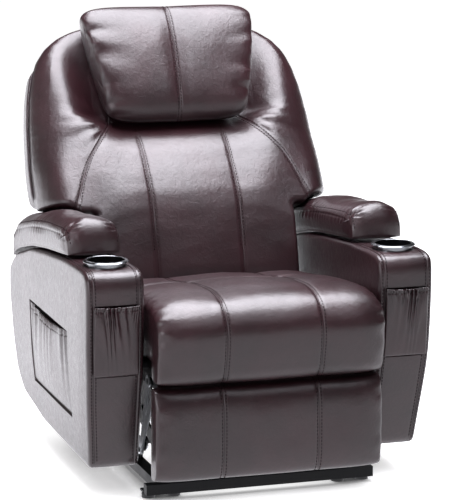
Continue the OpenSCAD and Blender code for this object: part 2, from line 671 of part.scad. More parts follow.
// Elastic pocket on the front of an arm: a tray with its mouth at the top
module front_pocket() difference() {
    intersection() {
        arm_solid(0);
        box(arm_in + 5.5, arm_out - 5.5, -arm_front - 1, -arm_front + front_pocket_depth + 5,
            front_pocket_low + 0.5, front_pocket_top - 8);
    }
    intersection() {
        arm_solid(pocket_t);
        box(arm_in + 5.5 + pocket_t, arm_out - 5.5 - pocket_t,
            -arm_front - 1, -arm_front + front_pocket_depth + 6,
            front_pocket_low + 0.5 + pocket_t, front_pocket_top + 1);
    }
}
module front_pocket_right() color(leather_dark) front_pocket();
module front_pocket_left() color(leather_dark) mirror([1, 0, 0]) front_pocket();

// Pocket set into an arm's outer face, with its gathered edge sagging to leave a mouth
module side_pocket() {
    n = 10;
    y0 = side_pocket_y0 + 0.5;
    y1 = side_pocket_y1 - 0.5;
    hem = [for (i = [0:n]) let (t = i / n)
        [y1 + (y0 - y1) * t, side_pocket_z1 - 2 - side_pocket_sag * sin(180 * t)]];
    difference() {
        intersection() {
            arm_solid(0);
            slab(arm_out - side_pocket_depth + 0.5, arm_out + 1,
                 concat([[y0, side_pocket_z + 0.5], [y1, side_pocket_z + 0.5]], hem));
        }
        intersection() {
            arm_solid(pocket_t);
            box(arm_out - side_pocket_depth, arm_out, y0 + pocket_t, y1 - pocket_t,
                side_pocket_z + 0.5 + pocket_t, side_pocket_z1 + 1);
        }
    }
}
module side_pocket_right() color(leather) side_pocket();
module side_pocket_left() color(leather) mirror([1, 0, 0]) side_pocket();

// ---- Footrest ------------------------------------------------------------------------------
module footrest_drive_links() color(steel) both() difference() {
    link(link_x, link_x + link_t, elbow, drive_pin, link_w - 4, 2 * tube_r + 10);
    x_rod(pin_r, link_x - 1, link_x + link_t + 1, elbow);
    x_rod(tube_r - 2, link_x - 1, link_x + link_t + 1, drive_pin);
}

// Tube across the carriage that turns both links, with the crank of the recline motor
module footrest_drive_tube() color(steel) {
    x_rod(tube_r, -link_x, link_x, drive_pin);
    both() x_rod(tube_r - 2, link_x, link_x + link_t, drive_pin);
    both() x_rod(pin_r, link_x, link_x + 2 * link_t + 3, elbow);
    both() link(10, 16, drive_pin, crank_pin, 26);
    x_rod(pin_r, -10, 10, crank_pin);
}

module footrest_push_links() color(steel) both() difference() {
    link(link_x + link_t + 1, link_x + 2 * link_t + 1, elbow, push_pin, link_w - 6);
    x_rod(pin_r + pin_gap, link_x + link_t, link_x + 2 * link_t + 2, elbow);
    x_rod(pin_r + pin_gap, link_x + link_t, link_x + 2 * link_t + 2, push_pin);
}

// The board is as wide as the pins of its push links
board_half = link_x + 2 * link_t + 4.5;
module footrest_board() color(timber)
    box(-board_half, board_half, board_y, board_y + board_t, footrest_low + 12, footrest_high - 8);

// Angle brackets on the board's back, each with the pin that its push link turns on
module footrest_brackets() color(steel) both() {
    slab(link_x - 4, link_x,
         rounded([[board_y + board_t, push_pin[1] - 60, 0], [push_pin[0] + 12, push_pin[1] - 30, 8],
                  [push_pin[0] + 12, push_pin[1] + 12, 10], [board_y + board_t, push_pin[1] + 12, 0]]));
    x_rod(pin_r, link_x, link_x + 2 * link_t + 3, push_pin);
    box(link_x - 28, link_x - 4, board_y + board_t, board_y + board_t + 3,
        push_pin[1] - 60, push_pin[1] + 12);
}

// Side view of the footrest's padding, from the lower rear corner round the front
foot_mid = (footrest_low + footrest_high) / 2;
foot_half = (footrest_high - footrest_low) / 2;
function footrest_ring(x) =
    let (s = x / seat_half_w, k = 1 - puff(s, 8, 0.6), g = dent(abs(x) - seam_x, 9) * channel_d,
         y0 = board_y - 0.5, n = 12)
    concat(
        [[x, y0, footrest_high - 10 - 6 * k], [x, y0, foot_mid], [x, y0, footrest_low + 10 + 4 * k]],
        [for (i = [0:n]) let (a = -90 + 180 * i / n, c = pow(max(0, cos(a)), 0.42), q = sin(a))
            [x - 2 * s * k, y0 - (footrest_pad_t - 16 * k) * (0.1 + 0.9 * c) + g * c,
             foot_mid + (foot_half - 3 * k) * sign(q) * pow(abs(q), 0.6)]]
    );
module footrest_cushion() color(leather)
    skin([for (t = [-1, -0.985, -0.95, -0.85, -0.7, -0.55, -0.47, -seam_x / seat_half_w, -0.36, -0.18, 0,
                    0.18, 0.36, seam_x / seat_half_w, 0.47, 0.55, 0.7, 0.85, 0.95, 0.985, 1])
        footrest_ring(t * seat_half_w)]);

// Apron of leather in the crease between the seat's front roll and the footrest
module footrest_flap() color(leather_dark)
    box(-seat_half_w + 12, seat_half_w - 12, board_y - 28, board_y - 25.5,
        footrest_high + 0.6, seat_low - 0.4);

// ---- Backrest ------------------------------------------------------------------------------
module lean_back() {
    translate(hip) rotate([-lean, 0, 0]) children();
}

// Half width of the backrest's outline at height u
back_k = back_half_w / 388;
wing_line = [[0, 383], [150, 387], [210, 388], [320, 381], [400, 371], [460, 357], [500, 341], [535, 315],
             [562, 282], [582, 238], [595, 180], [600, 110]];
function wing_w(u) = between(u * 600 / back_top, wing_line) * back_k;

// Depth of the cushion's front surface at [x, u], measured back from the hip line
pillow_low = back_top + 20 - pillow_h;
pillow_mid = pillow_low + pillow_h / 2;
function pillow_wide(u) = 1 - 0.23 * (0.5 - min(u, pillow_h / 2) / pillow_h);
centre_line = [[-135, 26], [-110, 8], [-60, 0], [60, 0], [150, 8],
               [pillow_low - 85, 28], [pillow_low - 35, 58],
               [pillow_low, 92], [pillow_low + 30, 118], [back_top + 10, 119]];
// Half width of the curved outer seams
seam_line = [[60, 322], [130, 296], [200, 258], [pillow_low, 186], [pillow_low + 30, 170]];
side_line = [[-135, 30], [-60, 8], [60, 6], [150, 14], [230, 22],
             [330, 46], [450, 62], [540, 82], [600, 120]];
// The recess behind the pillow widens with the pillow
function recess(u) =
    150 + (pillow_half_w * pillow_wide(u - pillow_mid) - 147) * smooth((u - pillow_low) / 40);
function front_v(x, u, w) =
    let (a = abs(x), t = smooth((a - recess(u)) / 110),
         v = between(u, centre_line) * (1 - t) + between(u, side_line) * t,
         seam_out = between(u, seam_line) * back_k,
         g = dent(a - 115, 9) * (1 - smooth((u - 240) / 50))
             + (u > 40 && u < 320 ? dent(a - seam_out, 10) : 0))
    v + g * channel_d + (back_pad - v) * (1 - puff(a / w, 5, 0.55));

// Rings level with the pads where the wings start, square to the lean above and below
wing_slope = wing_back_u - wing_front_u;
function ring_shift(u) =
    -wing_slope * (u < wing_back_u ? smooth((u + 60) / (wing_back_u + 60))
                                   : 1 - smooth((u - wing_back_u) / 200));
function back_ring(u, w, v1) =
    let (f = ring_shift(u))
    concat([for (i = [0:22])
               let (x = w * sin(90 * (1 - i / 11)), v = min(v1 - 2, front_v(x, u + f, w)))
               [x, v, u + f * (1 - v / back_pad)]],
           [for (i = [0:5]) [w * (1.94 * i / 5 - 0.97), v1, u]]);

module back_cushion() color(leather) lean_back() {
    w0 = wing_back_u;
    v1 = back_pad - 0.5;
    skin(concat(
        [back_ring(-135, low_half - 8, back_pad - 6)],
        [for (u = [-126, -100, -60, -15, 30, w0 - 22]) back_ring(u, low_half, v1)],
        [back_ring(w0 + 2, low_half + 4, v1)],
        [back_ring(w0 + 5, wing_w(w0 + 10) - 44, v1)],
        [back_ring(w0 + 13, wing_w(w0 + 20) - 16, v1)],
        [for (u = [w0 + 30, w0 + 60, 200, 235, 265, 290, 315, 340, 380, 420, 460, 500, 535, 562, 582])
            back_ring(u * back_top / 600, wing_w(u * back_top / 600), v1)],
        [back_ring(back_top - 5, 178 * back_k, back_pad - 4)],
        [back_ring(back_top, 110 * back_k, back_pad - 8)]
    ));
}

// Outline of the rear cover, seen square to the backrest, and the height of its slots
slot_h = 62;
cover_low = -138;
cover_foot = wing_u(back_pad + cover_depth);
cover_half = [
    [low_half - 8, cover_low, 16], [low_half - 8, cover_foot, 4], [back_half_w - 12, cover_foot, 22],
    [back_half_w - 7, cover_foot + 60, 150], [back_half_w - 7, back_top - 110, 16],
    [back_half_w - 62, back_top - 84, 60], [back_half_w - 120, back_top - 36, 60],
    [back_half_w - 200, back_top - 10, 100]
];
cover_outline = concat(cover_half,
    [for (i = [len(cover_half) - 1:-1:0]) [-cover_half[i][0], cover_half[i][1], cover_half[i][2]]]);

module upright(v0, v1, pts) {
    translate([0, v1, 0]) rotate([90, 0, 0]) linear_extrude(v1 - v0) polygon(pts);
}

module back_rear_cover() color(leather_dark) lean_back() difference() {
    v0 = back_pad;
    upright(v0, v0 + cover_depth, rounded(cover_outline));
    upright(v0 - 1, v0 + cover_depth - cover_wall, rounded(inset(cover_outline, cover_wall)));
    // Slots for the hinge plates
    both() box(frame_x - 17, frame_x + 22, v0 - 1, v0 + cover_depth + 1,
               cover_low - 1, cover_low + slot_h);
}

module back_frame() color(timber) lean_back() {
    v0 = back_pad + 1;
    v1 = back_pad + 35;
    both() box(frame_x - 13, frame_x + 12, v0, v1, cover_low + 4, back_top - 100);
    for (u = [cover_low + 64, 160, back_top - 130]) box(-frame_x + 13, frame_x - 13, v0, v1, u, u + 30);
}

hinge_u = back_u(hinge[0], hinge[1]);
hinge_v = back_v(hinge[0], hinge[1]);
module back_hinge_plates() color(steel) lean_back() both() difference() {
    slab(frame_x + 12, frame_x + 17,
         rounded([[hinge_v - 14, hinge_u - 14, 12], [hinge_v + 14, hinge_u - 14, 12],
                  [back_pad + 33, cover_low + 50, 8], [back_pad + 33, cover_low + 190, 8],
                  [back_pad + 3, cover_low + 190, 8], [back_pad + 3, cover_low + 30, 8]]));
    x_rod(pin_r + pin_gap, frame_x + 11, frame_x + 18, [hinge_v, hinge_u]);
}

module back_webbing() color(black) lean_back() for (u = [-20, 50, 120, 220, 290, 360, 420])
    box(-frame_x + 13, frame_x - 13, back_pad + 3, back_pad + 5, u, u + 32);

module back_massage_motors() color(black) lean_back() for (x = [-110, 110], u = [66, 306])
    translate([x, back_pad + 5, u]) rotate([-90, 0, 0]) cylinder(r = 20, h = 26);

module lumbar_heating_pad() color("#9c5a3c") lean_back()
    box(-130, 130, back_pad + 1, back_pad + 2.8, cover_low + 97, 148);

// Headrest pillow: wider at its upper edge, boxed and drawn in at both ends
function pillow_ring(s) =
    let (k = 1 - puff(s, 6, 0.5), n = 26, hv = pillow_t / 2 * (1 - 0.3 * k), hu = pillow_h / 2 - 16 * k,
         g = dent(s * pillow_half_w, 10) * channel_d)
    [for (i = [0:n - 1])
        let (a = 360 * i / n, c = cos(a), q = sin(a),
             v = hv * sign(c) * pow(abs(c), 0.62), u = hu * sign(q) * pow(abs(q), 0.72),
             wide = pillow_wide(u))
        [s * pillow_half_w * wide, 118 - pillow_t / 2 + v - 1 + (c < 0 ? g : 0), pillow_mid + u]];
module headrest_pillow() color(leather) lean_back()
    skin([for (t = [1, 0.99, 0.96, 0.9, 0.8, 0.65, 0.48, 0.3, 0.14, 0.05, 0, -0.05, -0.14, -0.3, -0.48,
                    -0.65, -0.8, -0.9, -0.96, -0.99, -1]) pillow_ring(t)]);

// ---- Every sub-part ------------------------------------------------------------------------
base_side_rails();
base_front_bar();
base_rear_bar();
base_feet();
base_pivot_brackets();
base_pivot_pins();
power_supply();
lift_arms();
lift_torque_tube();
lift_stays();
lift_motor();
lift_rod();
carriage_rails();
carriage_cross_tubes();
carriage_lift_plates();
carriage_pins();
recline_brackets();
recline_motor();
recline_rod();
control_box();
seat_box();
seat_springs();
seat_massage_motors();
seat_cushion();
arm_frame_left();
arm_frame_right();
arm_cover_left();
arm_cover_right();
arm_pad_left();
arm_pad_right();
arm_spacers();
arm_bolts();
cup_holder_left();
cup_holder_right();
front_pocket_left();
front_pocket_right();
side_pocket_left();
side_pocket_right();
footrest_drive_links();
footrest_drive_tube();
footrest_push_links();
footrest_board();
footrest_brackets();
footrest_cushion();
footrest_flap();
back_frame();
back_hinge_plates();
back_webbing();
back_massage_motors();
lumbar_heating_pad();
back_cushion();
back_rear_cover();
headrest_pillow();
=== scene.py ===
"""A power-lift massage chair in glossy brown faux leather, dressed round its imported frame.

Lengths in the sections are millimetres in the frame's own axes: X to the right, Y to the back and Z
up. Each mesh is worked out as whole numpy arrays and turned to metres when it is made.
"""
import math

import bmesh
import bpy
import numpy as np
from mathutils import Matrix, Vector


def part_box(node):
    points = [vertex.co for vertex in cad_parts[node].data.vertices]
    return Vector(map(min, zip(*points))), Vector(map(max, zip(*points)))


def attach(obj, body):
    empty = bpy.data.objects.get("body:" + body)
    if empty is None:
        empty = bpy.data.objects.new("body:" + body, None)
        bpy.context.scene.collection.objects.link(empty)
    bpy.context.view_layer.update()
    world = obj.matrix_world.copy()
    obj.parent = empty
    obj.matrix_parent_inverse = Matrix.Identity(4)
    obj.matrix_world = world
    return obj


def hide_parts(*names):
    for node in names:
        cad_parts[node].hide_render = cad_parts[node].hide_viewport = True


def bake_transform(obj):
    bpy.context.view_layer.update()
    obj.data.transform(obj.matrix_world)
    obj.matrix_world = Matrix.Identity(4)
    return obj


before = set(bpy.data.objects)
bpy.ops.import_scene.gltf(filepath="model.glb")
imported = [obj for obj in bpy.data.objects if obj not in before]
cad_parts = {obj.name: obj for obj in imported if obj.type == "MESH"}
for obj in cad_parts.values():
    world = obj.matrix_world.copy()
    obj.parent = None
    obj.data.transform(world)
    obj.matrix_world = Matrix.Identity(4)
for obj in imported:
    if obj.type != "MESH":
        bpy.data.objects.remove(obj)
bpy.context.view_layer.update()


# ---- Camera --------
# A long lens about six metres away, a little above the arms and in front of the chair's right arm.
# It stands level and upright.
CAMERA_AT = Vector((-1.8267, -5.9086, 1.6823))
CAMERA_AIM = Vector((0.0453, 0.0250, 0.5089))


def aim(name, data, place, target):
    """Adds a camera or a lamp at place, looking at target."""
    made = bpy.data.objects.new(name, data)
    made.location = place
    made.rotation_euler = (Vector(target) - Vector(place)).to_track_quat("-Z", "Y").to_euler()
    bpy.context.scene.collection.objects.link(made)
    return made


camera = bpy.data.cameras.new("camera")
camera.sensor_fit = "HORIZONTAL"
camera.sensor_width = 36
camera.lens = 200.43
camera.clip_end = 100
bpy.context.scene.camera = aim("camera", camera, CAMERA_AT, CAMERA_AIM)
bpy.context.scene.view_settings.view_transform = "Standard"


# ---- Studio --------
# A pale floor under a white sky. A large soft box hangs over the seat, another lights the left side
# and a weak one the front. In the leather's gloss the sky is dim, and the floor behind the chair is
# bright, so each cushion has dark and light sides.
def linear(code):
    """Linear RGBA of an sRGB hex colour: a power curve above the short straight toe."""
    value = np.array([int(code[i:i + 2], 16) for i in (1, 3, 5)]) / 255
    value = np.where(value <= 0.04045, value / 12.92, ((value + 0.055) / 1.055) ** 2.4)
    return (*value, 1.0)


def wire(tree, made, inputs):
    """Sets a node's inputs: each to a value, or linked to a socket or to a node's first output."""
    for key, value in inputs.items():
        if isinstance(value, bpy.types.Node):
            value = value.outputs[0]
        if isinstance(value, bpy.types.NodeSocket):
            tree.links.new(value, made.inputs[key])
        else:
            made.inputs[key].default_value = value


def node(tree, kind, inputs=(), **settings):
    """Adds a shader node with its properties and inputs."""
    made = tree.nodes.new("ShaderNode" + kind)
    for key, value in settings.items():
        setattr(made, key, value)
    wire(tree, made, dict(inputs))
    return made


def mapped(tree, value, start, end, low, high):
    """Runs from low to high as value goes from start to end, and keeps still outside."""
    return node(tree, "MapRange", {"Value": value, "From Min": start, "From Max": end,
                                   "To Min": low, "To Max": high})


def either(tree, a, b):
    """The larger of two values."""
    return node(tree, "Math", {0: a, 1: b}, operation="MAXIMUM")


def soft_box(name, place, target, width, depth, watts):
    """A rectangular lamp that looks at target."""
    data = bpy.data.lights.new(name, "AREA")
    data.shape = "RECTANGLE"
    data.size, data.size_y, data.energy = width, depth, watts
    data.color = (0.94, 0.93, 1.0)
    return aim(name, data, place, target)


soft_box("overhead_soft_box", (0.1, 0.0, 3.1), (0.05, -0.1, 0.5), 2.6, 2.8, 300)
soft_box("front_soft_box", (0.6, -2.7, 3.0), (0.0, 0.1, 0.75), 2.6, 1.6, 22)
soft_box("left_soft_box", (-4.2, -2.4, 1.7), (-0.4, 0.0, 0.5), 2.2, 2.2, 60)

sky = bpy.data.worlds.new("studio_sky")
sky.use_nodes = True
bpy.context.scene.world = sky
tree = sky.node_tree
tree.nodes.clear()
ray = node(tree, "LightPath").outputs
way = node(tree, "SeparateXYZ", {0: node(tree, "TexCoord").outputs["Generated"]}).outputs
low = mapped(tree, way["Z"], -0.05, 0.2, 0.5, 0.05)
left = mapped(tree, way["X"], -0.35, -0.95, 0.0, 0.4)
wall = node(tree, "Math", {0: low, 1: left}, operation="ADD")
seen = either(tree, ray["Is Camera Ray"], ray["Is Transmission Ray"])
glossy = node(tree, "Mix", {"Factor": ray["Is Glossy Ray"], "A": 0.18, "B": wall})
strength = node(tree, "Mix", {"Factor": seen, "A": glossy, "B": 1.0})
light = node(tree, "Background", {"Color": (1, 1, 1, 1), "Strength": strength})
node(tree, "OutputWorld", {"Surface": light})

FLOOR_HALF = 22
floor_mesh = bpy.data.meshes.new("floor")
floor_mesh.from_pydata([(-FLOOR_HALF, -FLOOR_HALF, 0), (FLOOR_HALF, -FLOOR_HALF, 0),
                        (FLOOR_HALF, FLOOR_HALF, 0), (-FLOOR_HALF, FLOOR_HALF, 0)],
                       [], [(0, 1, 2, 3)])
floor = bpy.data.objects.new("floor", floor_mesh)
bpy.context.scene.collection.objects.link(floor)
# Matt white paint with a glow for the camera, which fades by ambient occlusion near the chair: a
# painted shade under and round it, on top of the lamps' own shadow. Gloss sees the floor as a
# bright sweep that grows behind the chair.
paint = bpy.data.materials.new("matt_white_paint")
paint.use_nodes = True
tree = paint.node_tree
tree.nodes.clear()
ray = node(tree, "LightPath").outputs
lit = node(tree, "BsdfDiffuse", {"Color": linear("#e4e4e4")})
nook = node(tree, "AmbientOcclusion", {"Distance": 0.3})
glow_with_painted_shade = mapped(tree, nook.outputs["AO"], 0.05, 0.5, 0.0, 0.9)
glow = node(tree, "Emission", {"Color": (1, 1, 1, 1), "Strength": glow_with_painted_shade})
both = node(tree, "AddShader", {0: lit, 1: glow})
across = node(tree, "SeparateXYZ", {0: node(tree, "TexCoord").outputs["Object"]})
sweep = mapped(tree, across.outputs["Y"], -0.8, 1.0, 1.25, 2.5)
white = node(tree, "Emission", {"Color": (0.96, 0.95, 1, 1), "Strength": sweep})
bounced = either(tree, ray["Is Glossy Ray"], ray["Is Transmission Ray"])
direct = node(tree, "MixShader", {0: ray["Is Camera Ray"], 1: lit, 2: both})
mixed = node(tree, "MixShader", {0: bounced, 1: direct, 2: white})
node(tree, "OutputMaterial", {"Surface": mixed})
floor_mesh.materials.append(paint)


# ---- Arm covers --------
# Padded leather over a timber frame: a flat front panel between two stitched seams, rounded
# shoulders and a curved rear. Each is let in for its two pockets and for the cup holder.
def in_mm(name):
    """Lowest and highest corner of a CAD node, in millimetres."""
    return [np.array(corner) * 1000 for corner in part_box(name)]


def smooth(t):
    """S-curve from 0 to 1 as t goes from 0 to 1."""
    t = np.clip(t, 0, 1)
    return t * t * (3 - 2 * t)


def dent(d, width):
    """Bell of height 1 round d = 0."""
    return np.exp(-(d / width) ** 2)


def puff(s, sharp, edge):
    """1 in the middle and 0 at |s| = 1: (1 - |s| ^ sharp) ^ edge, square for a high `sharp`."""
    return (1 - np.clip(np.abs(s), 0, 1) ** sharp) ** edge


def within(value, low, high, margin=0):
    """True between low and high, at least margin away from both."""
    return (value > low + margin) & (value < high - margin)


def soft(at, xs, ys, reach=18):
    """Straight-line lookup with rounded kinks: the mean of five lookups within reach of `at`."""
    return np.mean([np.interp(at + k * reach, xs, ys) for k in (-1, -0.5, 0, 0.5, 1)], axis=0)


TURN = 2 * math.pi


def ripple(points, size, seed, waves=16):
    """Smooth noise of about -1 to 1: the sum of plane waves some `size` long, each its own way."""
    draw = np.random.default_rng(seed)
    way = draw.normal(size=(waves, 3))
    way *= (TURN / size / draw.uniform(0.6, 1.6, waves) / np.linalg.norm(way, axis=1))[:, None]
    return np.sin(points @ way.T + draw.uniform(0, TURN, waves)).sum(-1) / math.sqrt(waves)


def grid_lines(stops, step, near=(), beside=(1.2, 3, 5.5, 9, 14)):
    """Grid lines through every stop, at most a step apart, and closer beside each place in near."""
    even = [np.linspace(a, b, int(np.ceil((b - a) / step)) + 1) for a, b in zip(stops, stops[1:])]
    close = [place + side * d for place in near for d in (0, *beside) for side in (-1, 1)]
    every = np.unique(np.round(np.concatenate([*even, close]), 2))
    every = every[(every >= stops[0]) & (every <= stops[-1])]
    return every[np.diff(every, prepend=-1e9) > 0.5]


def unit(vectors):
    """The vectors scaled to length 1."""
    return vectors / np.maximum(np.linalg.norm(vectors, axis=-1, keepdims=True), 1e-9)


def distances(line):
    """The way along a line of points to each of them."""
    return np.concatenate([[0], np.cumsum(np.linalg.norm(np.diff(line, axis=0), axis=1))])


def resampled(values, way, at):
    """Rows of values that belong to the distances `way`, looked up at other distances."""
    return np.stack([np.interp(at, way, column) for column in values.T], -1)


def normals(points, around=True):
    """Unit normals of a grid, across its two slopes. around: its rows are closed rings."""
    along = np.gradient(points, axis=0)
    if around:
        across = (np.roll(points, -1, 1) - np.roll(points, 1, 1)) / 2
    else:
        across = np.gradient(points, axis=1)
    return unit(np.cross(along, across))


def facing(points, at, way, around=True):
    """Unit normals of a grid, all turned over if the one at `at` looks away from `way`."""
    out = normals(points, around)
    return -out if out[at] @ np.array(way) < 0 else out


def closed(grid):
    """The grid with its first column again at its end, so that each row is a ring."""
    return np.concatenate([grid, grid[:, :1]], 1)


def piece(name, grids, body):
    """One closed leather mesh from grids of points whose edges meet."""
    points, faces, start = [], [], 0
    for grid in grids:
        rows, columns = grid.shape[:2]
        k = np.arange(rows * columns).reshape(rows, columns) + start
        faces.append(np.stack((k[:-1, :-1], k[1:, :-1], k[1:, 1:], k[:-1, 1:]), -1).reshape(-1, 4))
        points.append(grid.reshape(-1, 3))
        start += rows * columns
    return skin(name, np.concatenate(points), np.concatenate(faces).tolist(), body, LEATHER)


def skin(name, points, faces, body, material):
    """Adds a smooth closed mesh on its body. Points that meet merge, and the faces look out."""
    data = bpy.data.meshes.new(name)
    data.from_pydata(points / 1000, [], faces)
    shape = bmesh.new()
    shape.from_mesh(data)
    bmesh.ops.remove_doubles(shape, verts=shape.verts, dist=2e-5)
    bmesh.ops.dissolve_degenerate(shape, edges=shape.edges, dist=1e-6)
    bmesh.ops.recalc_face_normals(shape, faces=shape.faces)
    if shape.calc_volume(signed=True) < 0:
        bmesh.ops.reverse_faces(shape, faces=shape.faces)
    shape.to_mesh(data)
    shape.free()
    data.polygons.foreach_set("use_smooth", np.ones(len(data.polygons), bool))
    data.materials.append(material)
    made = bpy.data.objects.new(name, data)
    bpy.context.scene.collection.objects.link(made)
    if body:
        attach(made, body)
    return made


def mirrored(points):
    """The same grid on the chair's other side: X changes its sign."""
    return points * np.array([-1, 1, 1])


SIDES = (("right", lambda points: points), ("left", mirrored))


def xyz(x, y, z):
    """A grid of points from three arrays or numbers."""
    return np.stack(np.broadcast_arrays(x, y, z), -1)


def nearest(lines, places):
    """For each place, the number of the grid line nearest to it."""
    return [int(np.argmin(np.abs(lines - place))) for place in places]


def both_ways(places, off):
    """Each place less off and plus off."""
    return [place + side for place in places for side in (-off, off)]


def surface(name):
    """A new material, its node tree, its Principled shader and the object coordinates."""
    made = bpy.data.materials.new(name)
    made.use_nodes = True
    tree = made.node_tree
    return made, tree, tree.nodes["Principled BSDF"], node(tree, "TexCoord").outputs["Object"]


def tones(tree, factor, dark, light, start=0.0, end=1.0):
    """Colour between two sRGB tones, as factor runs from start to end."""
    ramp = node(tree, "ValToRGB", {"Fac": factor})
    first, last = ramp.color_ramp.elements
    first.position, first.color = start, linear(dark)
    last.position, last.color = end, linear(light)
    return ramp


def faux_leather(name, dark, light, rough):
    """Polyurethane-coated leather, embossed and glossed: fine grain, soft creases, uneven tone."""
    made, tree, shader, place = surface(name)
    tone = node(tree, "TexNoise", {"Vector": place, "Scale": 7, "Detail": 4, "Roughness": 0.6})
    # Grain cells are near 1 mm on the real cover; 2.4 mm is the finest that shows
    grain = node(tree, "TexVoronoi", {"Vector": place, "Scale": 1 / 0.0024}, feature="SMOOTH_F1")
    crease = node(tree, "TexNoise", {"Vector": place, "Scale": 1 / 0.013, "Detail": 5,
                                     "Roughness": 0.62, "Distortion": 0.6})
    wave = node(tree, "TexNoise", {"Vector": place, "Scale": 1 / 0.11, "Detail": 2})
    tint = tones(tree, tone, dark, light, 0.32, 0.72)
    shade = mapped(tree, grain, 0.0, 0.7, 1.0, 0.82)
    colour = node(tree, "VectorMath", {0: tint, "Scale": shade}, operation="SCALE")
    gloss = mapped(tree, crease, 0.3, 0.7, rough - 0.05, rough + 0.06)
    swell = node(tree, "Bump", {"Height": wave, "Strength": 0.5, "Distance": 0.0015})
    fold = node(tree, "Bump", {"Height": crease, "Strength": 0.8, "Distance": 0.0013,
                               "Normal": swell})
    pore = node(tree, "Bump", {"Height": grain, "Strength": 0.35, "Distance": 0.0004,
                               "Normal": fold}, invert=True)
    wire(tree, shader, {"Base Color": colour, "Roughness": gloss, "Normal": pore, "IOR": 1.55,
                        "Coat Weight": 0.25, "Coat Roughness": 0.27})
    return made


LEATHER = faux_leather("glossy_faux_leather", "#1f0c10", "#30171c", 0.35)

arm_low, arm_high = in_mm("arm_cover_right")
ARM_IN, ARM_OUT, ARM_FRONT, ARM_REAR = arm_low[0], arm_high[0], arm_low[1], arm_high[1]
ARM_BOTTOM, ARM_TOP = arm_low[2], arm_high[2]
ARM_MID = (ARM_IN + ARM_OUT) / 2
SHOULDER = 13  # radius of the arm's long edges
SEAM_INSET = 15
ARM_SEAMS = [ARM_OUT - SEAM_INSET, ARM_IN + SEAM_INSET]
ARM_STITCH_OFF = 5.2  # from a seam to each of its two rows of stitches
# Height of the arm's top, going back
TOP_Y = ARM_FRONT + np.array([0, 100, 227, 411, 563, 722, 770, 841])
TOP_Z = ARM_TOP - np.array([2, 0, 5, 23, 43, 77, 93, 146])
# Windows for the two pockets, from the CAD pockets' own boxes: two sides, the foot and the top
side_low, side_high = in_mm("side_pocket_right")
front_low, front_high = in_mm("front_pocket_right")
SIDE_WINDOW = (side_low[1] - 0.5, side_high[1] + 0.5, side_low[2] - 0.5, side_high[2] + 2)
FRONT_WINDOW = (ARM_IN + SEAM_INSET, ARM_OUT - SEAM_INSET, front_low[2] - 0.5, front_high[2] + 8)
WINDOW_DEPTH = 13
CLEAR = 0.6  # keeps a grid line that lies on a window's edge out of the window
CUP_Y = sum(corner[1] for corner in in_mm("cup_holder_right")) / 2
CUP_REACH, CUP_DEPTH = 48, 88
# Side view's corners: whether at the front, whether at the top, and the radius
ARM_CORNERS = ((1, 1, 44), (1, 0, 14), (0, 0, 55), (0, 1, 12))


def arm_top(y):
    """Height of the arm's top line at y."""
    return soft(y, TOP_Y, TOP_Z, 24)


def arm_front(z):
    """Front edge of the arm at height z: it leans back towards the foot."""
    return soft(z, [75, 312, 470, 600], ARM_FRONT + np.array([66, 11, 0, 0]))


def arm_rear(z):
    """Rear edge of the arm at height z."""
    return soft(z, [75, 110, 165, 260, 425], ARM_REAR - np.array([98, 66, 36, 17, 0]))


def arm_foot(y):
    """Height of the arm's lower edge at y."""
    return soft(y, [-400, 100, 331], ARM_BOTTOM + np.array([0, 4, 36]))


def arm_width(z):
    """Share of the arm's width left at height z: the outer side draws in towards the foot."""
    return 1 - soft(z, [85, 245, 365], [18, 5, 0], 30) / (ARM_OUT - ARM_IN)


def between_lines(stops, values):
    """For each value, the stop line before it and the share of the way to the next one."""
    stops = np.array(stops)
    k = np.clip(np.searchsorted(stops, values, side="right") - 1, 0, len(stops) - 2)
    return k, (values - stops[k]) / (stops[k + 1] - stops[k])


def arm_side():
    """Side view as a grid of (y, z), with straight rows and columns beside the windows and others
    that follow the four edges. Behind the side pocket the rows sink with the arm's top. Six rounds
    fit rows and columns to each other, then each corner goes from a square to a quarter disc."""
    y_stops = [ARM_FRONT, *SIDE_WINDOW[:2], ARM_REAR]
    z_stops = sorted([ARM_BOTTOM, *SIDE_WINDOW[2:], *FRONT_WINDOW[2:], ARM_TOP])
    c = grid_lines(y_stops, 9, SIDE_WINDOW[:2], (1.2, 3, 6))
    r = grid_lines(z_stops, 9, [*SIDE_WINDOW[2:], *FRONT_WINDOW[2:]], (1.2, 3, 6))
    kc, fc = between_lines(y_stops, c)
    kr, fr = between_lines(z_stops, r)
    y, z = np.meshgrid(c, r)
    rows, columns = np.indices(y.shape)
    kr, fr = kr[:, None], fr[:, None]
    for _ in range(6):
        front, rear = arm_front(z) + SHOULDER, arm_rear(z) - SHOULDER
        foot, top = arm_foot(y) + SHOULDER, arm_top(y) - SHOULDER
        y_line = np.stack([front, *(np.full_like(y, s) for s in y_stops[1:-1]), rear])
        sink = (ARM_TOP - arm_top(y)) * smooth((y - SIDE_WINDOW[1]) / 90) / (ARM_TOP - ARM_BOTTOM)
        z_line = np.stack([foot, *(s - sink * (s - ARM_BOTTOM) for s in z_stops[1:-1]), top])
        y = y_line[kc, rows, columns] * (1 - fc) + y_line[kc + 1, rows, columns] * fc
        z = z_line[kr, rows, columns] * (1 - fr) + z_line[kr + 1, rows, columns] * fr
    for at_front, at_top, radius in ARM_CORNERS:
        dy = (y - front) if at_front else (rear - y)
        dz = (top - z) if at_top else (z - foot)
        u, v = np.clip(1 - dy / radius, 0, 1), np.clip(1 - dz / radius, 0, 1)
        back_y = (u - u * np.sqrt(1 - v * v / 2)) * radius
        back_z = (v - v * np.sqrt(1 - u * u / 2)) * radius
        y = y + back_y * (1 if at_front else -1)
        z = z + back_z * (-1 if at_top else 1)
    return y, z


def edge_of(grid):
    """The outermost points of a grid, in order from its first corner, without the closing one."""
    return np.concatenate([grid[0, :-1], grid[:-1, -1], grid[-1, :0:-1], grid[:0:-1, 0]])


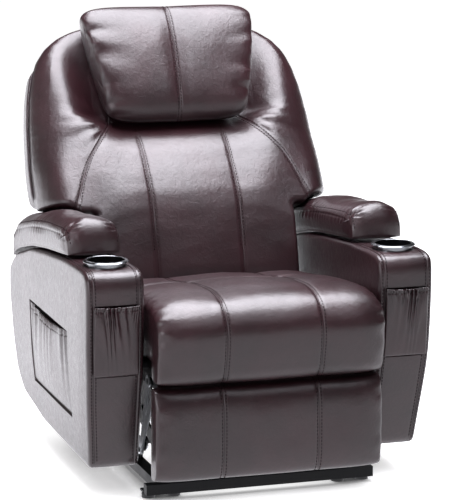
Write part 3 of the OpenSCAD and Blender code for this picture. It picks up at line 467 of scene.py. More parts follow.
def arm_grids():
    """Outer side, band round the edge and inner side of the right arm. The band's points are the
    side view's edge moved out by lift, which has the round edges, the seams and the pocket."""
    y, z = arm_side()
    window = within(y, *SIDE_WINDOW[:2], CLEAR) & within(z, *SIDE_WINDOW[2:], CLEAR)
    width = (ARM_OUT - ARM_IN) * arm_width(z)
    edge = np.minimum(1, np.minimum(y - arm_front(z), arm_top(y) - z) / 90)
    swell = 2.5 * smooth(edge) * (1 + 0.35 * ripple(xyz(0, y, z), 210, 3))
    outer = xyz(ARM_IN + width + swell - WINDOW_DEPTH * 1.4 * window, y, z)
    inner = xyz(ARM_IN - 0.6 * smooth(edge), y, z)
    rim = edge_of(np.stack([y, z], -1))
    step = np.roll(rim, -1, 0) - np.roll(rim, 1, 0)
    out = unit(np.stack([step[:, 1], -step[:, 0]], -1))
    out = unit(np.roll(out, 1, 0) + out + np.roll(out, -1, 0))
    # Across the band: a round shoulder, a faintly crowned middle with its seams, the other shoulder
    turn = np.radians(np.linspace(0, 90, 7))
    middle = grid_lines([ARM_IN + SHOULDER, ARM_OUT - SHOULDER], 7, ARM_SEAMS,
                        (1.2, 3, ARM_STITCH_OFF))
    round_in, round_up = SHOULDER * (1 - np.cos(turn)), SHOULDER * np.sin(turn)
    x = np.concatenate([ARM_OUT - round_in, middle[::-1][1:-1], ARM_IN + round_in[::-1]])
    rise = np.concatenate([round_up, np.full(len(middle) - 2, SHOULDER), round_up[::-1]])
    rim_y, rim_z = rim[:, 0][:, None], rim[:, 1][:, None]
    front_face = smooth((-(out[:, 0]) - 0.5) * 3)[:, None]
    top_face = smooth((out[:, 1] - 0.5) * 3)[:, None]
    shown = np.maximum(front_face, top_face * (rim_y < -150))
    groove = sum(dent(x - s, 1.6) + 0.25 * dent(np.abs(x - s) - 5, 1.5) for s in ARM_SEAMS)
    in_window = (within(x, *FRONT_WINDOW[:2], 4) & within(rim_z, *FRONT_WINDOW[2:], CLEAR)
                 & (front_face > 0.5))
    crown = 2.4 * puff((x - ARM_MID) / (ARM_OUT - ARM_MID - SHOULDER), 2, 1) * front_face
    lift = rise + crown - 2.8 * groove * shown - WINDOW_DEPTH * in_window
    # Pleats where the front panel rolls over the top beside its seams
    off_x, off_y, off_z = np.abs(x - ARM_MID) - 56, rim_y - (ARM_FRONT + 16), rim_z - (ARM_TOP - 8)
    reach = np.sqrt(off_x ** 2 + off_y ** 2 + off_z ** 2)
    lift = lift + 1.5 * np.cos(np.arctan2(off_y - off_z, off_x) * 5) * dent(reach, 24)
    grow = arm_width(rim_z + out[:, 1:] * rise)
    band = xyz(ARM_IN + (x - ARM_IN) * grow, rim_y + out[:, :1] * lift, rim_z + out[:, 1:] * lift)
    band[:, 0], band[:, -1] = edge_of(outer), edge_of(inner)
    # Round the cup holder the leather is cut: its edge meets the hole, and the waste folds down
    cup = np.array([ARM_MID, CUP_Y])
    off = band[..., :2] - cup
    far = np.linalg.norm(off, axis=-1)
    on_top = (top_face > 0.5) & (far < CUP_REACH + 5)
    sunk = on_top & (far < CUP_REACH - 4)
    size = np.where(sunk, CUP_REACH * np.minimum(1, far / 30), CUP_REACH)
    ring = cup + off / np.maximum(far, 1e-6)[..., None] * size[..., None]
    band[..., :2] = np.where(on_top[..., None], ring, band[..., :2])
    band[..., 2] -= np.where(sunk, CUP_DEPTH, 0)
    return outer, np.concatenate([band, band[:1]]), inner, x, len(y[0]), len(y)


def capsules(line, out, pitch=8.5, length=6.0, radius=1.15):
    """Stitches along a line on a cover: capsules of six sides, pitch apart, sunk by half.
    Each ring is centre + thread * t + (across cos a + out sin a) * r."""
    way = distances(line)
    at = np.arange(pitch / 2, way[-1], pitch)
    centre, up = resampled(line, way, at), resampled(out, way, at)
    ahead = unit(resampled(line, way, at + 0.5) - resampled(line, way, at - 0.5))
    up = unit(up - ahead * (up * ahead).sum(1, keepdims=True))
    across = np.cross(ahead, up)
    centre = centre + up * 0.2
    t = np.array([-0.5, -0.34, 0.34, 0.5])[:, None, None] * length
    a = np.radians(np.arange(0, 360, 60))[None, :, None]
    r = np.array([0.25, 1, 1, 0.25])[:, None, None] * radius
    c, f, s, n = (v[:, None, None, :] for v in (centre, ahead, across, up))
    return (c + f * t + (s * np.cos(a) + n * np.sin(a)) * r).reshape(-1, 24, 3)


def stitches(grid, lines, run, column, way, around=True):
    """Stitches along some rows of a grid, each over the slice `run`. The middle row looks `way` at
    `column`."""
    out = facing(grid, (len(grid) // 2, column), way, around)
    return [capsules(grid[k, run], out[k, run]) for k in lines]


def thread_piece(name, parts, body):
    """All stitches of one cover as one mesh: each has three belts of quads and two ends."""
    points = np.concatenate(parts)
    ring = np.arange(6)
    belt = np.stack([ring, (ring + 1) % 6, 6 + (ring + 1) % 6, 6 + ring], -1)
    start = (np.arange(len(points)) * 24)[:, None, None]
    quads = (np.concatenate([belt, belt + 6, belt + 12]) + start).reshape(-1, 4).tolist()
    ends = (np.array([ring[::-1], ring + 18]) + start).reshape(-1, 6).tolist()
    skin(name, points.reshape(-1, 3), quads + ends, body, THREAD)


def polyester_thread(name, dark, light):
    """Bonded polyester sewing thread: a twist of plies 0.8 mm apart and a faint sheen."""
    made, tree, shader, place = surface(name)
    ply = node(tree, "TexWave", {"Vector": place, "Scale": 1 / 0.0016, "Distortion": 1.5})
    bump = node(tree, "Bump", {"Height": ply.outputs["Fac"], "Strength": 0.3, "Distance": 0.0003})
    colour = tones(tree, ply.outputs["Fac"], dark, light)
    wire(tree, shader, {"Base Color": colour, "Normal": bump, "Roughness": 0.8,
                        "Specular IOR Level": 0.15})
    return made


THREAD = polyester_thread("bonded_thread", "#0d0809", "#2a1b1e")

outer, band, inner, band_x, columns, rows = arm_grids()
# From the pad's front, over the top and down the front panel
path = slice(columns + rows - 2 + int(columns * 0.62), len(band) - 1)
arm_lines = nearest(band_x, both_ways(ARM_SEAMS, ARM_STITCH_OFF))
arm_stitches = stitches(np.swapaxes(band, 0, 1), arm_lines, path, (len(band) * 7) // 8, (0, -1, 0),
                        around=False)
for suffix, turned in SIDES:
    cover = piece("arm_leather_" + suffix, [turned(g) for g in (outer, band, inner)], "carriage")
    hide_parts("arm_cover_" + suffix)
    thread_piece("arm_stitches_" + suffix, [turned(g) for g in arm_stitches], "carriage")


# ---- Arm pads --------
# Boxed cushion of the same leather on the rear part of each arm: a crowned top panel sewn to a
# gathered side panel, with a domed front. It is stapled to the arm from below.
pad_low, pad_high = in_mm("arm_pad_right")
PAD_HALF = ARM_MID - pad_low[0] - 2
PAD_FRONT, PAD_REAR = pad_low[1] - 1.5, pad_high[1] + 1.5
PAD_LIFT = 3  # from the arm's top to the pad's base
PAD_SIDE, PAD_CROWN = 58, 30  # heights of the side panel and of the top's crown above it
PAD_ROUND = 75
STITCH_OFF = 5.5


def seam(d, deep=3.0):
    """Depth of a sewn seam at distance d: a groove between two rows of stitches."""
    return deep * (dent(d, 2.2) + 0.5 * dent(np.abs(d) - STITCH_OFF, 1.6))


def pad_plan(y):
    """Share of the pad's width at y: in plan its front corners are quarter rounds."""
    into = np.clip((PAD_FRONT + PAD_ROUND - y) / PAD_ROUND, 0, 1)
    return 1 - 0.15 * (1 - np.sqrt(1 - into ** 2))


def pad_grid(x):
    """Closed profiles of the right arm's pad, one for each x across it. The top runs from the bowed
    front over the crown to the rear. Both ends are squarish quarter rounds, and the base lies on
    the arm."""
    share = x[:, None] / PAD_HALF
    y_front, y_rear = PAD_FRONT + 16 * np.abs(share) ** 3, PAD_REAR - 14 * share ** 2
    t = np.radians(np.linspace(0, 90, 40))
    rise, reach = np.sin(t)[None] ** 0.7, 1 - np.cos(t)[None] ** 0.7
    front = y_front + 66 * reach
    rear = y_rear - 62 * reach[:, ::-1]
    run = np.linspace(0, 1, 90)[None, 1:-1]
    over = front[:, -1:] + (rear[:, :1] - front[:, -1:]) * run
    back = y_rear + (y_front - y_rear) * np.linspace(0, 1, 26)[None, 1:-1]
    y = np.concatenate([front, over, rear, back], 1)
    up = np.concatenate([rise, np.ones_like(run), rise[:, ::-1], np.zeros((1, back.shape[1]))], 1)
    plump = 1 + 0.10 * np.sin(y / 41 + 1.3 * share) * (up > 0)
    height = PAD_SIDE - 3 * smooth((y + 40) / -160) + PAD_CROWN * puff(share, 2.3, 0.8) * plump
    edge = PAD_HALF - np.abs(x[:, None])
    # Pleats radiate from each upper front corner. along: the way over the top, negative below it
    along = y - y_front - 12 - PAD_SIDE * (1 - up)
    turn = np.arctan2(along, edge + 3)
    tuck = 5.5 * np.cos(turn * 10 + np.sin(3 * turn)) * dent(np.hypot(edge, along) - 18, 15)
    crease = (1.1 * np.cos(y / 4.1 + 2 * np.sin(y / 29)) * (0.5 + 0.5 * np.sin(y / 47))
              * dent(edge - 8, 12))
    swell = 1.2 * ripple(xyz(x[:, None], y, 0), 70, 8) * puff(share, 2, 1)
    height = height - seam(edge, 2.6) - (tuck + crease) * up + swell
    z = arm_top(y) + PAD_LIFT + height * up
    y = y - tuck * (1 - up) * (up > 0)
    return xyz(ARM_MID + x[:, None] * pad_plan(y), y, z)


def pad_side_rings(ring, sign):
    """Side panel of a pad: rings drawn to its middle line, bulging, with gathers below the seam."""
    goal_y = np.clip(ring[:, 1], PAD_FRONT + 95, PAD_REAR - 40)
    goal = xyz(ring[:, 0], goal_y, arm_top(goal_y) + PAD_LIFT + 0.48 * PAD_SIDE)
    rings = []
    for share in (0.985, 0.955, 0.92, 0.87, 0.8, 0.7, 0.58, 0.44, 0.3, 0.15, 0):
        moved = goal + (ring - goal) * share
        above = smooth((moved[:, 2] - goal[:, 2]) / 12)
        y = moved[:, 1]
        waves = np.cos(y / 3.4 + 2.2 * np.sin(y / 31)) * (0.55 + 0.45 * np.sin(y / 43))
        fold = waves * above * share * (1 - share) * 7
        bulge = 3.6 * (1 - share ** 2) + fold - 1.2 * dent((1 - share) * 30 - STITCH_OFF, 1.6)
        moved[:, 0] = ARM_MID + sign * (PAD_HALF * pad_plan(y) + bulge)
        rings.append(moved)
    return np.stack(rings)


pad_x = grid_lines([-PAD_HALF, PAD_HALF], 4, [-PAD_HALF, PAD_HALF],
                   (1.2, 3, STITCH_OFF, *range(8, 42, 2)))
pad = pad_grid(pad_x)
# The stitches run inside the two seams, from the front's upper half to the rear's
pad_stitches = stitches(pad, nearest(pad_x, (PAD_HALF - STITCH_OFF, STITCH_OFF - PAD_HALF)),
                        slice(7, -42), 60, (0, 0, 1))
pad = closed(np.concatenate([pad_side_rings(pad[0], -1)[::-1], pad, pad_side_rings(pad[-1], 1)]))
for suffix, turned in SIDES:
    cover = piece("arm_pad_leather_" + suffix, [turned(pad)], "carriage")
    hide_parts("arm_pad_" + suffix)
    thread_piece("arm_pad_stitches_" + suffix, [turned(g) for g in pad_stitches], "carriage")


# ---- Pockets --------
# Leather panels sewn into the arms' windows on three sides. The fourth is a hem gathered by
# elastic, which sags and leaves a dark mouth on the side pockets.
def arch(t, power=1.0):
    """Half a wave, from 0 over 1 to 0 as t goes from 0 to 1, to a power."""
    return np.sin(math.pi * t) ** power


def panel(name, face, inward, body):
    """Closed panel: its face, the same grid moved by inward, and the four edges between them."""
    back = face + inward
    edges = [np.stack([face[k], back[k]]) for k in (0, -1)]
    edges += [np.stack([face[:, k], back[:, k]]) for k in (0, -1)]
    return piece(name, [face, back, *edges], body)


def gathers(c, drop, count, height, reach, seed, lean=0):
    """Folds that hang from a hem: waves of uneven width that fade over reach below it, and lean."""
    draw = np.random.default_rng(seed)
    drift = sum(draw.uniform(0.4, 1) * np.sin(math.pi * n * c + draw.uniform(0, 6))
                for n in (2, 3, 5)) * 0.13
    fold = np.cos(TURN * (count * (c + drift * 0.3 + lean * drop / reach)
                          + 0.2 * drop / reach * np.sin(3 * c + seed)))
    return (height * (0.6 + 0.4 * np.sin(5 * c + seed)) * fold * np.exp(-(drop / reach) ** 1.5)
            * arch(c, 0.4))


POCKET_INSET = 1.5
# c is the share across a pocket and r the share up it, with its rows closer at the hem
c, r = np.meshgrid(np.linspace(0, 1, 150), 1 - np.linspace(0, 1, 70) ** 1.3)
side_y = SIDE_WINDOW[0] + POCKET_INSET + (SIDE_WINDOW[1] - SIDE_WINDOW[0] - 2 * POCKET_INSET) * c
hem = side_high[2] - 1 + 5 * (1 - c) - 16 * arch(c, 0.8)
side_z = SIDE_WINDOW[2] + POCKET_INSET + (hem - SIDE_WINDOW[2] - POCKET_INSET) * r
drop = hem - side_z
side_x = (ARM_IN + (ARM_OUT - ARM_IN) * arm_width(side_z) - 0.5 + 6 * arch(r, 0.6) * arch(c, 0.6)
          + gathers(c, drop, 8, 5.2, 80, 2) + gathers(c, drop, 30, 1.6, 18, 5)
          - 1.6 * dent(drop - 14, 2) - 3 * dent(r, 0.03))
side_pocket = xyz(side_x, side_y, side_z)
c, r = np.meshgrid(np.linspace(0, 1, 90), 1 - np.linspace(0, 1, 60) ** 1.3)
front_x = FRONT_WINDOW[0] + CLEAR + (FRONT_WINDOW[1] - FRONT_WINDOW[0] - 2 * CLEAR) * c
hem = FRONT_WINDOW[3] - POCKET_INSET - 2 * arch(c)
front_z = FRONT_WINDOW[2] + POCKET_INSET + (hem - FRONT_WINDOW[2] - POCKET_INSET) * r
drop = hem - front_z
front_y = (arm_front(front_z) - 1.3 - 4.4 * arch(r, 0.6) * arch(c, 0.4)
           - gathers(c, drop, 6, 5.2, 80, 4, 0.12) * (0.7 + 0.5 * dent(c - 0.35, 0.3))
           - gathers(c, drop, 14, 3.0, 26, 9, -0.04)
           + 1.4 * dent(drop - 9, 1.8) - 1.6 * dent(drop - 2, 1.6)
           + 0.8 * (dent(front_x - FRONT_WINDOW[0], 2) + dent(front_x - FRONT_WINDOW[1], 2)))
front_pocket = xyz(front_x, front_y, front_z)
POCKETS = (("side", side_pocket, np.array([-2.2, 0, 0])),
           ("front", front_pocket, np.array([0, 1.2, 0])))
for suffix, turned in SIDES:
    for kind, face, inward in POCKETS:
        pocket = panel(kind + "_pocket_leather_" + suffix, turned(face), turned(inward), "carriage")
        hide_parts(kind + "_pocket_" + suffix)


# ---- Seat --------
# Foam cushion with a deep front roll over the seat box. Two seams run over it from back to front,
# and a crease crosses it behind its crown. The cover is stapled under the box.
seat_low, seat_high = in_mm("seat_cushion")
SEAT_HALF = seat_high[0] + 3
SEAM_X = 118
SEAT_STOPS = [-SEAT_HALF, -SEAM_X, SEAM_X, SEAT_HALF]
DECK = in_mm("seat_box")[1][2] + 0.5
SEAT_FRONT, SEAT_REAR = seat_low[1], seat_high[1] - 6
SEAT_UNDER, SEAT_TOP = seat_low[2], seat_high[2]
ROLL_REAR = -443.5  # where the underside steps up from the roll to the seat box's top
OWN = math.nan  # for capped: the ring's own mean


def curve(rows, step):
    """Catmull-Rom curve through rows of numbers, in equal steps of its first two columns."""
    rows = np.array(rows, float)
    padded = np.vstack([2 * rows[0] - rows[1], rows, 2 * rows[-1] - rows[-2]])
    t = np.linspace(0, 1, 24, endpoint=False)[:, None]
    a, b, c, d = (padded[k:len(padded) - 3 + k, None, :] for k in range(4))
    fine = 0.5 * (2 * b + (c - a) * t + (2 * a - 5 * b + 4 * c - d) * t ** 2
                  + (3 * b - a - 3 * c + d) * t ** 3)
    fine = np.vstack([fine.reshape(-1, rows.shape[1]), rows[-1]])
    way = distances(fine[:, :2])
    return resampled(fine, way, np.linspace(0, way[-1], int(way[-1] / step) + 1))


def capped(grid, middle, bulge, shares=(0.992, 0.97, 0.92, 0.8, 0.6, 0.3, 0.0)):
    """Adds rings at both ends of a grid of rings, drawn to a middle point and moved by bulge."""
    ends = []
    for ring, sign in ((grid[0], -1), (grid[-1], 1)):
        goal = np.where(np.isnan(middle), ring.mean(0), middle)
        for share in shares:
            ends.append(goal + (ring - goal) * share + sign * np.array(bulge) * (1 - share ** 2))
    n = len(shares)
    return np.concatenate([np.stack(ends[:n])[::-1], grid, np.stack(ends[n:])])


def sewn(x, plump):
    """Depth of the cover at x under its full height: two seams and the plump panels beside them."""
    away = np.abs(x)
    side = np.clip((away - SEAM_X) / (SEAT_HALF - SEAM_X), 0, 1)
    swell = np.where(away < SEAM_X, np.abs(np.cos(x / SEAM_X * math.pi / 2)) ** 0.7,
                     arch(side, 0.7))
    return seam(np.abs(away - SEAM_X)) - (plump * swell - 3)


# y, z, and how far each moves at the cushion's two sides
top_line = curve([
    (SEAT_REAR, DECK, 0, 0), (SEAT_REAR + 6, DECK + 40, -6, 0), (SEAT_REAR + 4, DECK + 84, -8, -6),
    (SEAT_REAR - 18, SEAT_TOP - 47, -6, -14), (SEAT_REAR - 90, SEAT_TOP - 39, 0, -20),
    (-160, SEAT_TOP - 24, 0, -24), (-260, SEAT_TOP - 9, 0, -26), (-340, SEAT_TOP - 2, 0, -28),
    (-400, SEAT_TOP, 4, -28), (-450, SEAT_TOP - 6, 12, -26), (-487, SEAT_TOP - 21, 20, -20),
    (-511, SEAT_TOP - 46, 24, -8), (SEAT_FRONT, SEAT_TOP - 82, 26, 0),
    (SEAT_FRONT + 1, SEAT_TOP - 122, 26, 0), (SEAT_FRONT + 8, SEAT_TOP - 160, 24, 0),
    (SEAT_FRONT + 16, SEAT_TOP - 186, 20, 4), (SEAT_FRONT + 34, SEAT_UNDER + 2, 10, 8),
    (SEAT_FRONT + 56, SEAT_UNDER, 0, 8)], 6)
under_line = np.array([(ROLL_REAR - 0.5, SEAT_UNDER + 12, 0, 0), (ROLL_REAR, DECK - 24, 0, 0),
                       (ROLL_REAR, DECK, 0, 0), *((y, DECK, 0, 0) for y in range(-420, 20, 20))])
profile = np.vstack([top_line, under_line])
seat_x = grid_lines(SEAT_STOPS, 7, SEAT_STOPS)
x, py = np.meshgrid(seat_x, profile[:, 0], indexing="ij")
pz, dy, dz = (np.broadcast_to(profile[:, k], x.shape) for k in (1, 2, 3))
s = x / SEAT_HALF
k = 1 - puff(s, 7, 0.6)
over = np.broadcast_to(np.arange(len(profile)) < len(top_line), x.shape)
top = smooth((pz - DECK - 30) / 60) * over
front = smooth((-py - 455) / 45) * over
cross = 5 * dent(py + 185 - 0.00022 * x ** 2, 15) * top
flat = xyz(x, py, pz)
wave = 0.8 * ripple(flat, 190, 11) + 0.25 * ripple(flat, 60, 12)
pleat = (2.2 * np.cos(py / 7.5 + pz / 9 + np.sign(x)) * dent(np.abs(x) - SEAT_HALF + 10, 16)
         * np.maximum(top, front))
inward = sewn(x, 5.5) + cross - wave + pleat
way_y, way_z = front, top * (1 - front)
size = np.hypot(way_y, way_z)
inward = inward / np.maximum(size, 1e-6) * np.minimum(1, size)
seat = xyz(x - 3 * s * k, py + dy * k + inward * way_y,
           pz + dz * k - 7 * s ** 2 * top - inward * way_z)
SEAT_LINES = nearest(seat_x, both_ways((-SEAM_X, SEAM_X), STITCH_OFF))
seat_stitches = stitches(seat, SEAT_LINES, slice(8, len(top_line) - 4), 60, (0, 0, 1))
seat = capped(seat, (OWN, -450, 400), (2.5, 0, 0))
cover = piece("seat_leather", [closed(seat)], "carriage")
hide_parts("seat_cushion")
thread_piece("seat_stitches", seat_stitches, "carriage")


# ---- Footrest --------
# Padded panel on a plywood board, with the seat's two seams, and a leather apron that closes the
# gap to the seat. The apron is stapled to both; here it is a fixed panel that belongs to no moving
# body.
foot_low, foot_high = in_mm("footrest_cushion")
FOOT_BACK = foot_high[1]
FOOT_PAD = FOOT_BACK - foot_low[1]
FOOT_MID, FOOT_HALF = (foot_low[2] + foot_high[2]) / 2, (foot_high[2] - foot_low[2]) / 2
x, a = np.meshgrid(seat_x, np.radians(np.linspace(-90, 90, 61)), indexing="ij")
s = x / SEAT_HALF
k = 1 - puff(s, 8, 0.6)
c, q = np.maximum(0, np.cos(a)) ** np.where(a > 0, 0.62, 0.42), np.sin(a)
z = FOOT_MID + (FOOT_HALF - 3 * k) * np.sign(q) * np.abs(q) ** 0.6
flat = xyz(x, 0, z)
pleat = 1.6 * np.cos(z / 8 + np.sign(x)) * dent(np.abs(x) - SEAT_HALF + 8, 14)
inward = (sewn(x, 4) - 0.8 * ripple(flat, 170, 21) - 0.2 * ripple(flat, 50, 22) + pleat) * c
x = x - 2 * s * k
front = xyz(x, FOOT_BACK - (FOOT_PAD - 16 * k) * (0.1 + 0.9 * c) + inward, z)
rear_z = np.linspace(foot_high[2] - 10, foot_low[2] + 10, 12)
rear = xyz(x[:, :1], FOOT_BACK, rear_z - 6 * k[:, :1] * (rear_z > FOOT_MID))
foot_stitches = stitches(front, SEAT_LINES, slice(3, -3), 30, (0, -1, 0), around=False)
foot = capped(np.concatenate([front, rear], 1), (OWN, OWN, OWN), (1.5, 0, 0))
cover = piece("footrest_leather", [closed(foot)], "footrest")
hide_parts("footrest_cushion")
thread_piece("footrest_stitches", foot_stitches, "footrest")

flap_low, flap_high = in_mm("footrest_flap")
x, z = np.meshgrid(np.linspace(flap_low[0], flap_high[0], 90),
                   np.linspace(flap_low[2] + 0.6, flap_high[2] - 0.6, 26))
fold = arch(np.linspace(0, 1, 26))[:, None]
apron = xyz(x, flap_low[1] + (15 + 1.2 * np.sin(x / 23)) * fold, z)
flap = panel("footrest_apron", apron, np.array([0, 1.2, 0]), None)
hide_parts("footrest_flap")
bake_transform(flap)


# ---- Backrest --------
# One T-shaped cushion of leather over foam on the back's frame: straight inner seams, curved outer
# ones, and wings over the arm pads. A padded shell closes it from behind.
LEAN = math.radians(25)
HIP = np.array([0, 92, 562])
BACK_FOOT, BACK_TOP, BACK_PAD = -135, 600, 150
LOW_HALF, TOP_HALF = SEAT_HALF - 7, 110
# Heights of the wings' underside, at the cushion's front face and at its rear
WING_FRONT, WING_REAR = 71.7, 110.0
INNER_SEAM = 115
PILLOW_LOW, PILLOW_H, PILLOW_HALF, PILLOW_T = 300, 320, 238, 106
PILLOW_MID = PILLOW_LOW + PILLOW_H / 2
UP = np.array([0, math.sin(LEAN), math.cos(LEAN)])
BACKWARD = np.array([0, math.cos(LEAN), -math.sin(LEAN)])


def leaned(x, v, u):
    """Points of the backrest: x across, v back from its front face, u up along it."""
    x, v, u = (np.asarray(part)[..., None] for part in np.broadcast_arrays(x, v, u))
    return HIP + x * np.array([1, 0, 0]) + v * BACKWARD + u * UP


def wing_half(u):
    """Half width of the backrest at height u."""
    return soft(u, [0, 150, 210, 320, 400, 460, 500, 535, 562, 582, 595, BACK_TOP, 620],
                [383, 387, 388, 381, 371, 357, 341, 315, 282, 238, 180, TOP_HALF, 40], 5)


def outer_seam(u):
    """Distance of the curved seams from the middle."""
    return soft(u, [60, 130, 200, 300, 330], [322, 296, 258, 186, 170], 25)


def pillow_wide(u):
    """Share of the pillow's width at height u above its middle."""
    return 1 - 0.23 * (0.5 - np.minimum(u, PILLOW_H / 2) / PILLOW_H)


def wing_sag(x):
    """How far the wings' underside hangs below its middle, so that it follows the pads' crowns."""
    share = np.clip((np.abs(x) - ARM_MID) / PAD_HALF, -1, 1)
    return np.minimum(25, PAD_CROWN * (1 - puff(share, 2.4, 0.9)))


def back_front(x, u, w):
    """Depth of the cushion's front face: three plump panels and a hollow for the pillow."""
    away = np.abs(x)
    recess = 150 + (PILLOW_HALF * pillow_wide(u - PILLOW_MID) - 147) * smooth((u - PILLOW_LOW) / 40)
    t = smooth((away - recess) / 110)
    middle = soft(u, [-135, -110, -60, 0, 55, 95, 150, 215, 265, 300, 330, 610],
                  [38, 27, 18, 8, 1, 1, 13, 34, 60, 92, 118, 119], 12)
    sides = soft(u, [-135, -60, 60, 150, 230, 330, 450, 540, 600],
                 [36, 18, 4, 10, 22, 46, 62, 82, 120], 20)
    low = 1 - smooth((u - 245) / 60)
    high = smooth((u - 45) / 40) * (1 - smooth((u - 320) / 30))
    curved = outer_seam(u)
    inside = away < INNER_SEAM
    share = (away - INNER_SEAM) / np.maximum(curved - INNER_SEAM, 30)
    plump = 6 * low * np.where(inside, np.abs(np.cos(away / INNER_SEAM * math.pi / 2)) ** 0.7,
                               arch(np.clip(share, 0, 1), 0.7))
    flat = xyz(x, 0, u)
    crease = ripple(flat, 230, 31) + 0.2 * ripple(flat * np.array([0.5, 1, 1.6]), 60, 32)
    # Folds radiate over the wing from the pillow's lower corner
    off_x, off_u = away - 182, u - 296
    radial, turn = np.hypot(off_x, off_u), np.arctan2(off_u, off_x)
    pinch = 1 - 1.6 * np.abs(np.sin(turn * 6.5 + 0.6 + radial / 70)) ** 0.8
    folds = (4.5 * pinch * dent(radial - 62, 42)
             * smooth((turn + 0.9) * 2) * smooth((1.3 - turn) * 2))
    tucks = (2.6 * np.cos(u / 5.6 + 2 * np.sin(u / 41)) * dent(w - away - 10, 11)
             * smooth((u - 130) / 60))
    return (middle * (1 - t) + sides * t + (3 - plump) * low - crease + folds + tucks
            + seam(away - INNER_SEAM) * low + seam(away - curved) * high)


# Rows: straight below, then the wings from their underside up to the rounded top
low_u = np.concatenate([[BACK_FOOT, -133, -129, -123], np.arange(-116, WING_REAR - 6, 7),
                        [WING_REAR - 1.5]])
wing_u = np.concatenate([WING_REAR + np.array([0, 1.2, 3, 5.5, 9, 14, 20, 27]),
                         np.arange(WING_REAR + 34, BACK_TOP - 40, 6.5),
                         BACK_TOP - 40 + 40 * np.sin(np.radians(np.linspace(4, 90, 15)))])
low_w = LOW_HALF - 9 * np.clip((BACK_FOOT + 13 - low_u) / 13, 0, 1) ** 2
# The wings' lower corners are quarter rounds, 18 mm high and 13 mm wide
corner = np.clip(1 - (wing_u - WING_REAR) / 18, 0, 1)
wing_w = wing_half(wing_u) - 13 * (1 - np.sqrt(1 - corner ** 2))
wing_w[-1] = TOP_HALF
back_u, back_w = (np.concatenate(part)[:, None] for part in ((low_u, wing_u), (low_w, wing_w)))
is_low = back_u < WING_REAR
# The front face slides down, so that the wings' underside follows the pads
slide = (WING_FRONT - WING_REAR) * np.where(is_low, smooth((back_u + 60) / (WING_REAR + 60)),
                                            1 - smooth((back_u - WING_REAR) / 200))
# Columns: five stops across each half, which hold the seams, and the widths they keep at the wings
EDGE = 22  # radius of the cushion's edges below the wings
BASE = [0, INNER_SEAM, 276, 322, 387]
inner_stop = np.minimum(INNER_SEAM, 0.42 * back_w)
seam_stop = np.minimum(outer_seam(back_u + slide), 0.84 * back_w)
side_stop = inner_stop + (seam_stop - inner_stop) * (BASE[2] - BASE[1]) / (BASE[3] - BASE[1])
join = smooth((back_u - WING_REAR) / 90)
side_stop = np.where(is_low, back_w - EDGE, (LOW_HALF - EDGE) * (1 - join) + side_stop * join)
stops = np.concatenate([0 * back_w, inner_stop, side_stop, seam_stop, back_w], 1)
share = grid_lines(BASE, 7, [BASE[1], BASE[3], BASE[4]])
at, part = between_lines(BASE, share)
half_x = stops[:, at] * (1 - part) + stops[:, at + 1] * part
# Below the wings the outer columns run round the cushion's side, by equal steps of a quarter turn
quarter = np.radians(90 * np.clip((share - BASE[2]) / (BASE[4] - BASE[2]), 0, 1))
half_x = np.where(is_low & (share > BASE[2]), back_w - EDGE * (1 - np.sin(quarter) ** 0.83), half_x)


def thick(d, radius):
    """Share of the thickness at distance d from an edge: (1 - (1 - d / radius) ^ 2.4) ^ 0.5."""
    return np.sqrt(np.clip(1 - (1 - np.clip(d / radius, 0, 1)) ** 2.4, 0, 1))


from_corner = np.hypot(np.maximum(LOW_HALF - half_x, 0), back_u - WING_REAR)
crown = smooth((back_u - WING_REAR) / 170)
side_full = thick(back_w - half_x, 80) * (1 - crown) + puff(half_x / back_w, 5, 0.55) * crown
full = np.where(is_low, thick(back_w - half_x, EDGE), side_full * thick(from_corner, EDGE))


def both_sides(half, sign=1):
    """A row's right half and its mirror image, from right to left."""
    return np.concatenate([half[:, ::-1], sign * half[:, 1:]], 1)


x, full = both_sides(half_x, -1), both_sides(full)
face = back_front(x, back_u + slide, back_w)
v = np.minimum(face + (BACK_PAD - face) * (1 - full), BACK_PAD - 0.6)
hang = smooth((np.abs(x) - 185) / (LOW_HALF - 185)) * np.where(
    is_low, smooth((back_u + 70) / (WING_REAR + 70)), 1 - smooth((back_u - WING_REAR - 2) / 110))
sag = (wing_sag(np.maximum(np.abs(x), LOW_HALF)) + 10) * hang
front = leaned(x, v, back_u + slide * (1 - v / BACK_PAD) - sag)
behind = np.linspace(-0.97, 0.97, 24)[None] * back_w
sunk = np.interp(back_u, [BACK_FOOT, BACK_FOOT + 13, BACK_TOP - 40, BACK_TOP], [5, 0, 0, 8])
rear = leaned(behind, BACK_PAD - 0.5 - sunk, back_u)
back_out = facing(front, (40, len(share)), (0, -1, 0), around=False)


def where_x(grid, rows, x):
    """Grid values on each of the rows where the front face passes x."""
    return np.array([[np.interp(at, front[r, ::-1, 0], grid[r, ::-1, k]) for k in range(3)]
                     for r, at in zip(rows, x)])


back_stitches = []
for column, low, high in ((inner_stop, -60, 270), (seam_stop, 112, 350)):
    rows = np.nonzero(within(back_u[:, 0], low, high))[0]
    for line in both_ways((-column[rows, 0], column[rows, 0]), STITCH_OFF):
        back_stitches.append(capsules(where_x(front, rows, line), where_x(back_out, rows, line)))
back = capped(np.concatenate([front, rear], 1), (0, OWN, OWN), UP * 2)
cover = piece("back_leather", [closed(back)], "backrest")
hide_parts("back_cushion")
thread_piece("back_stitches", back_stitches, "backrest")

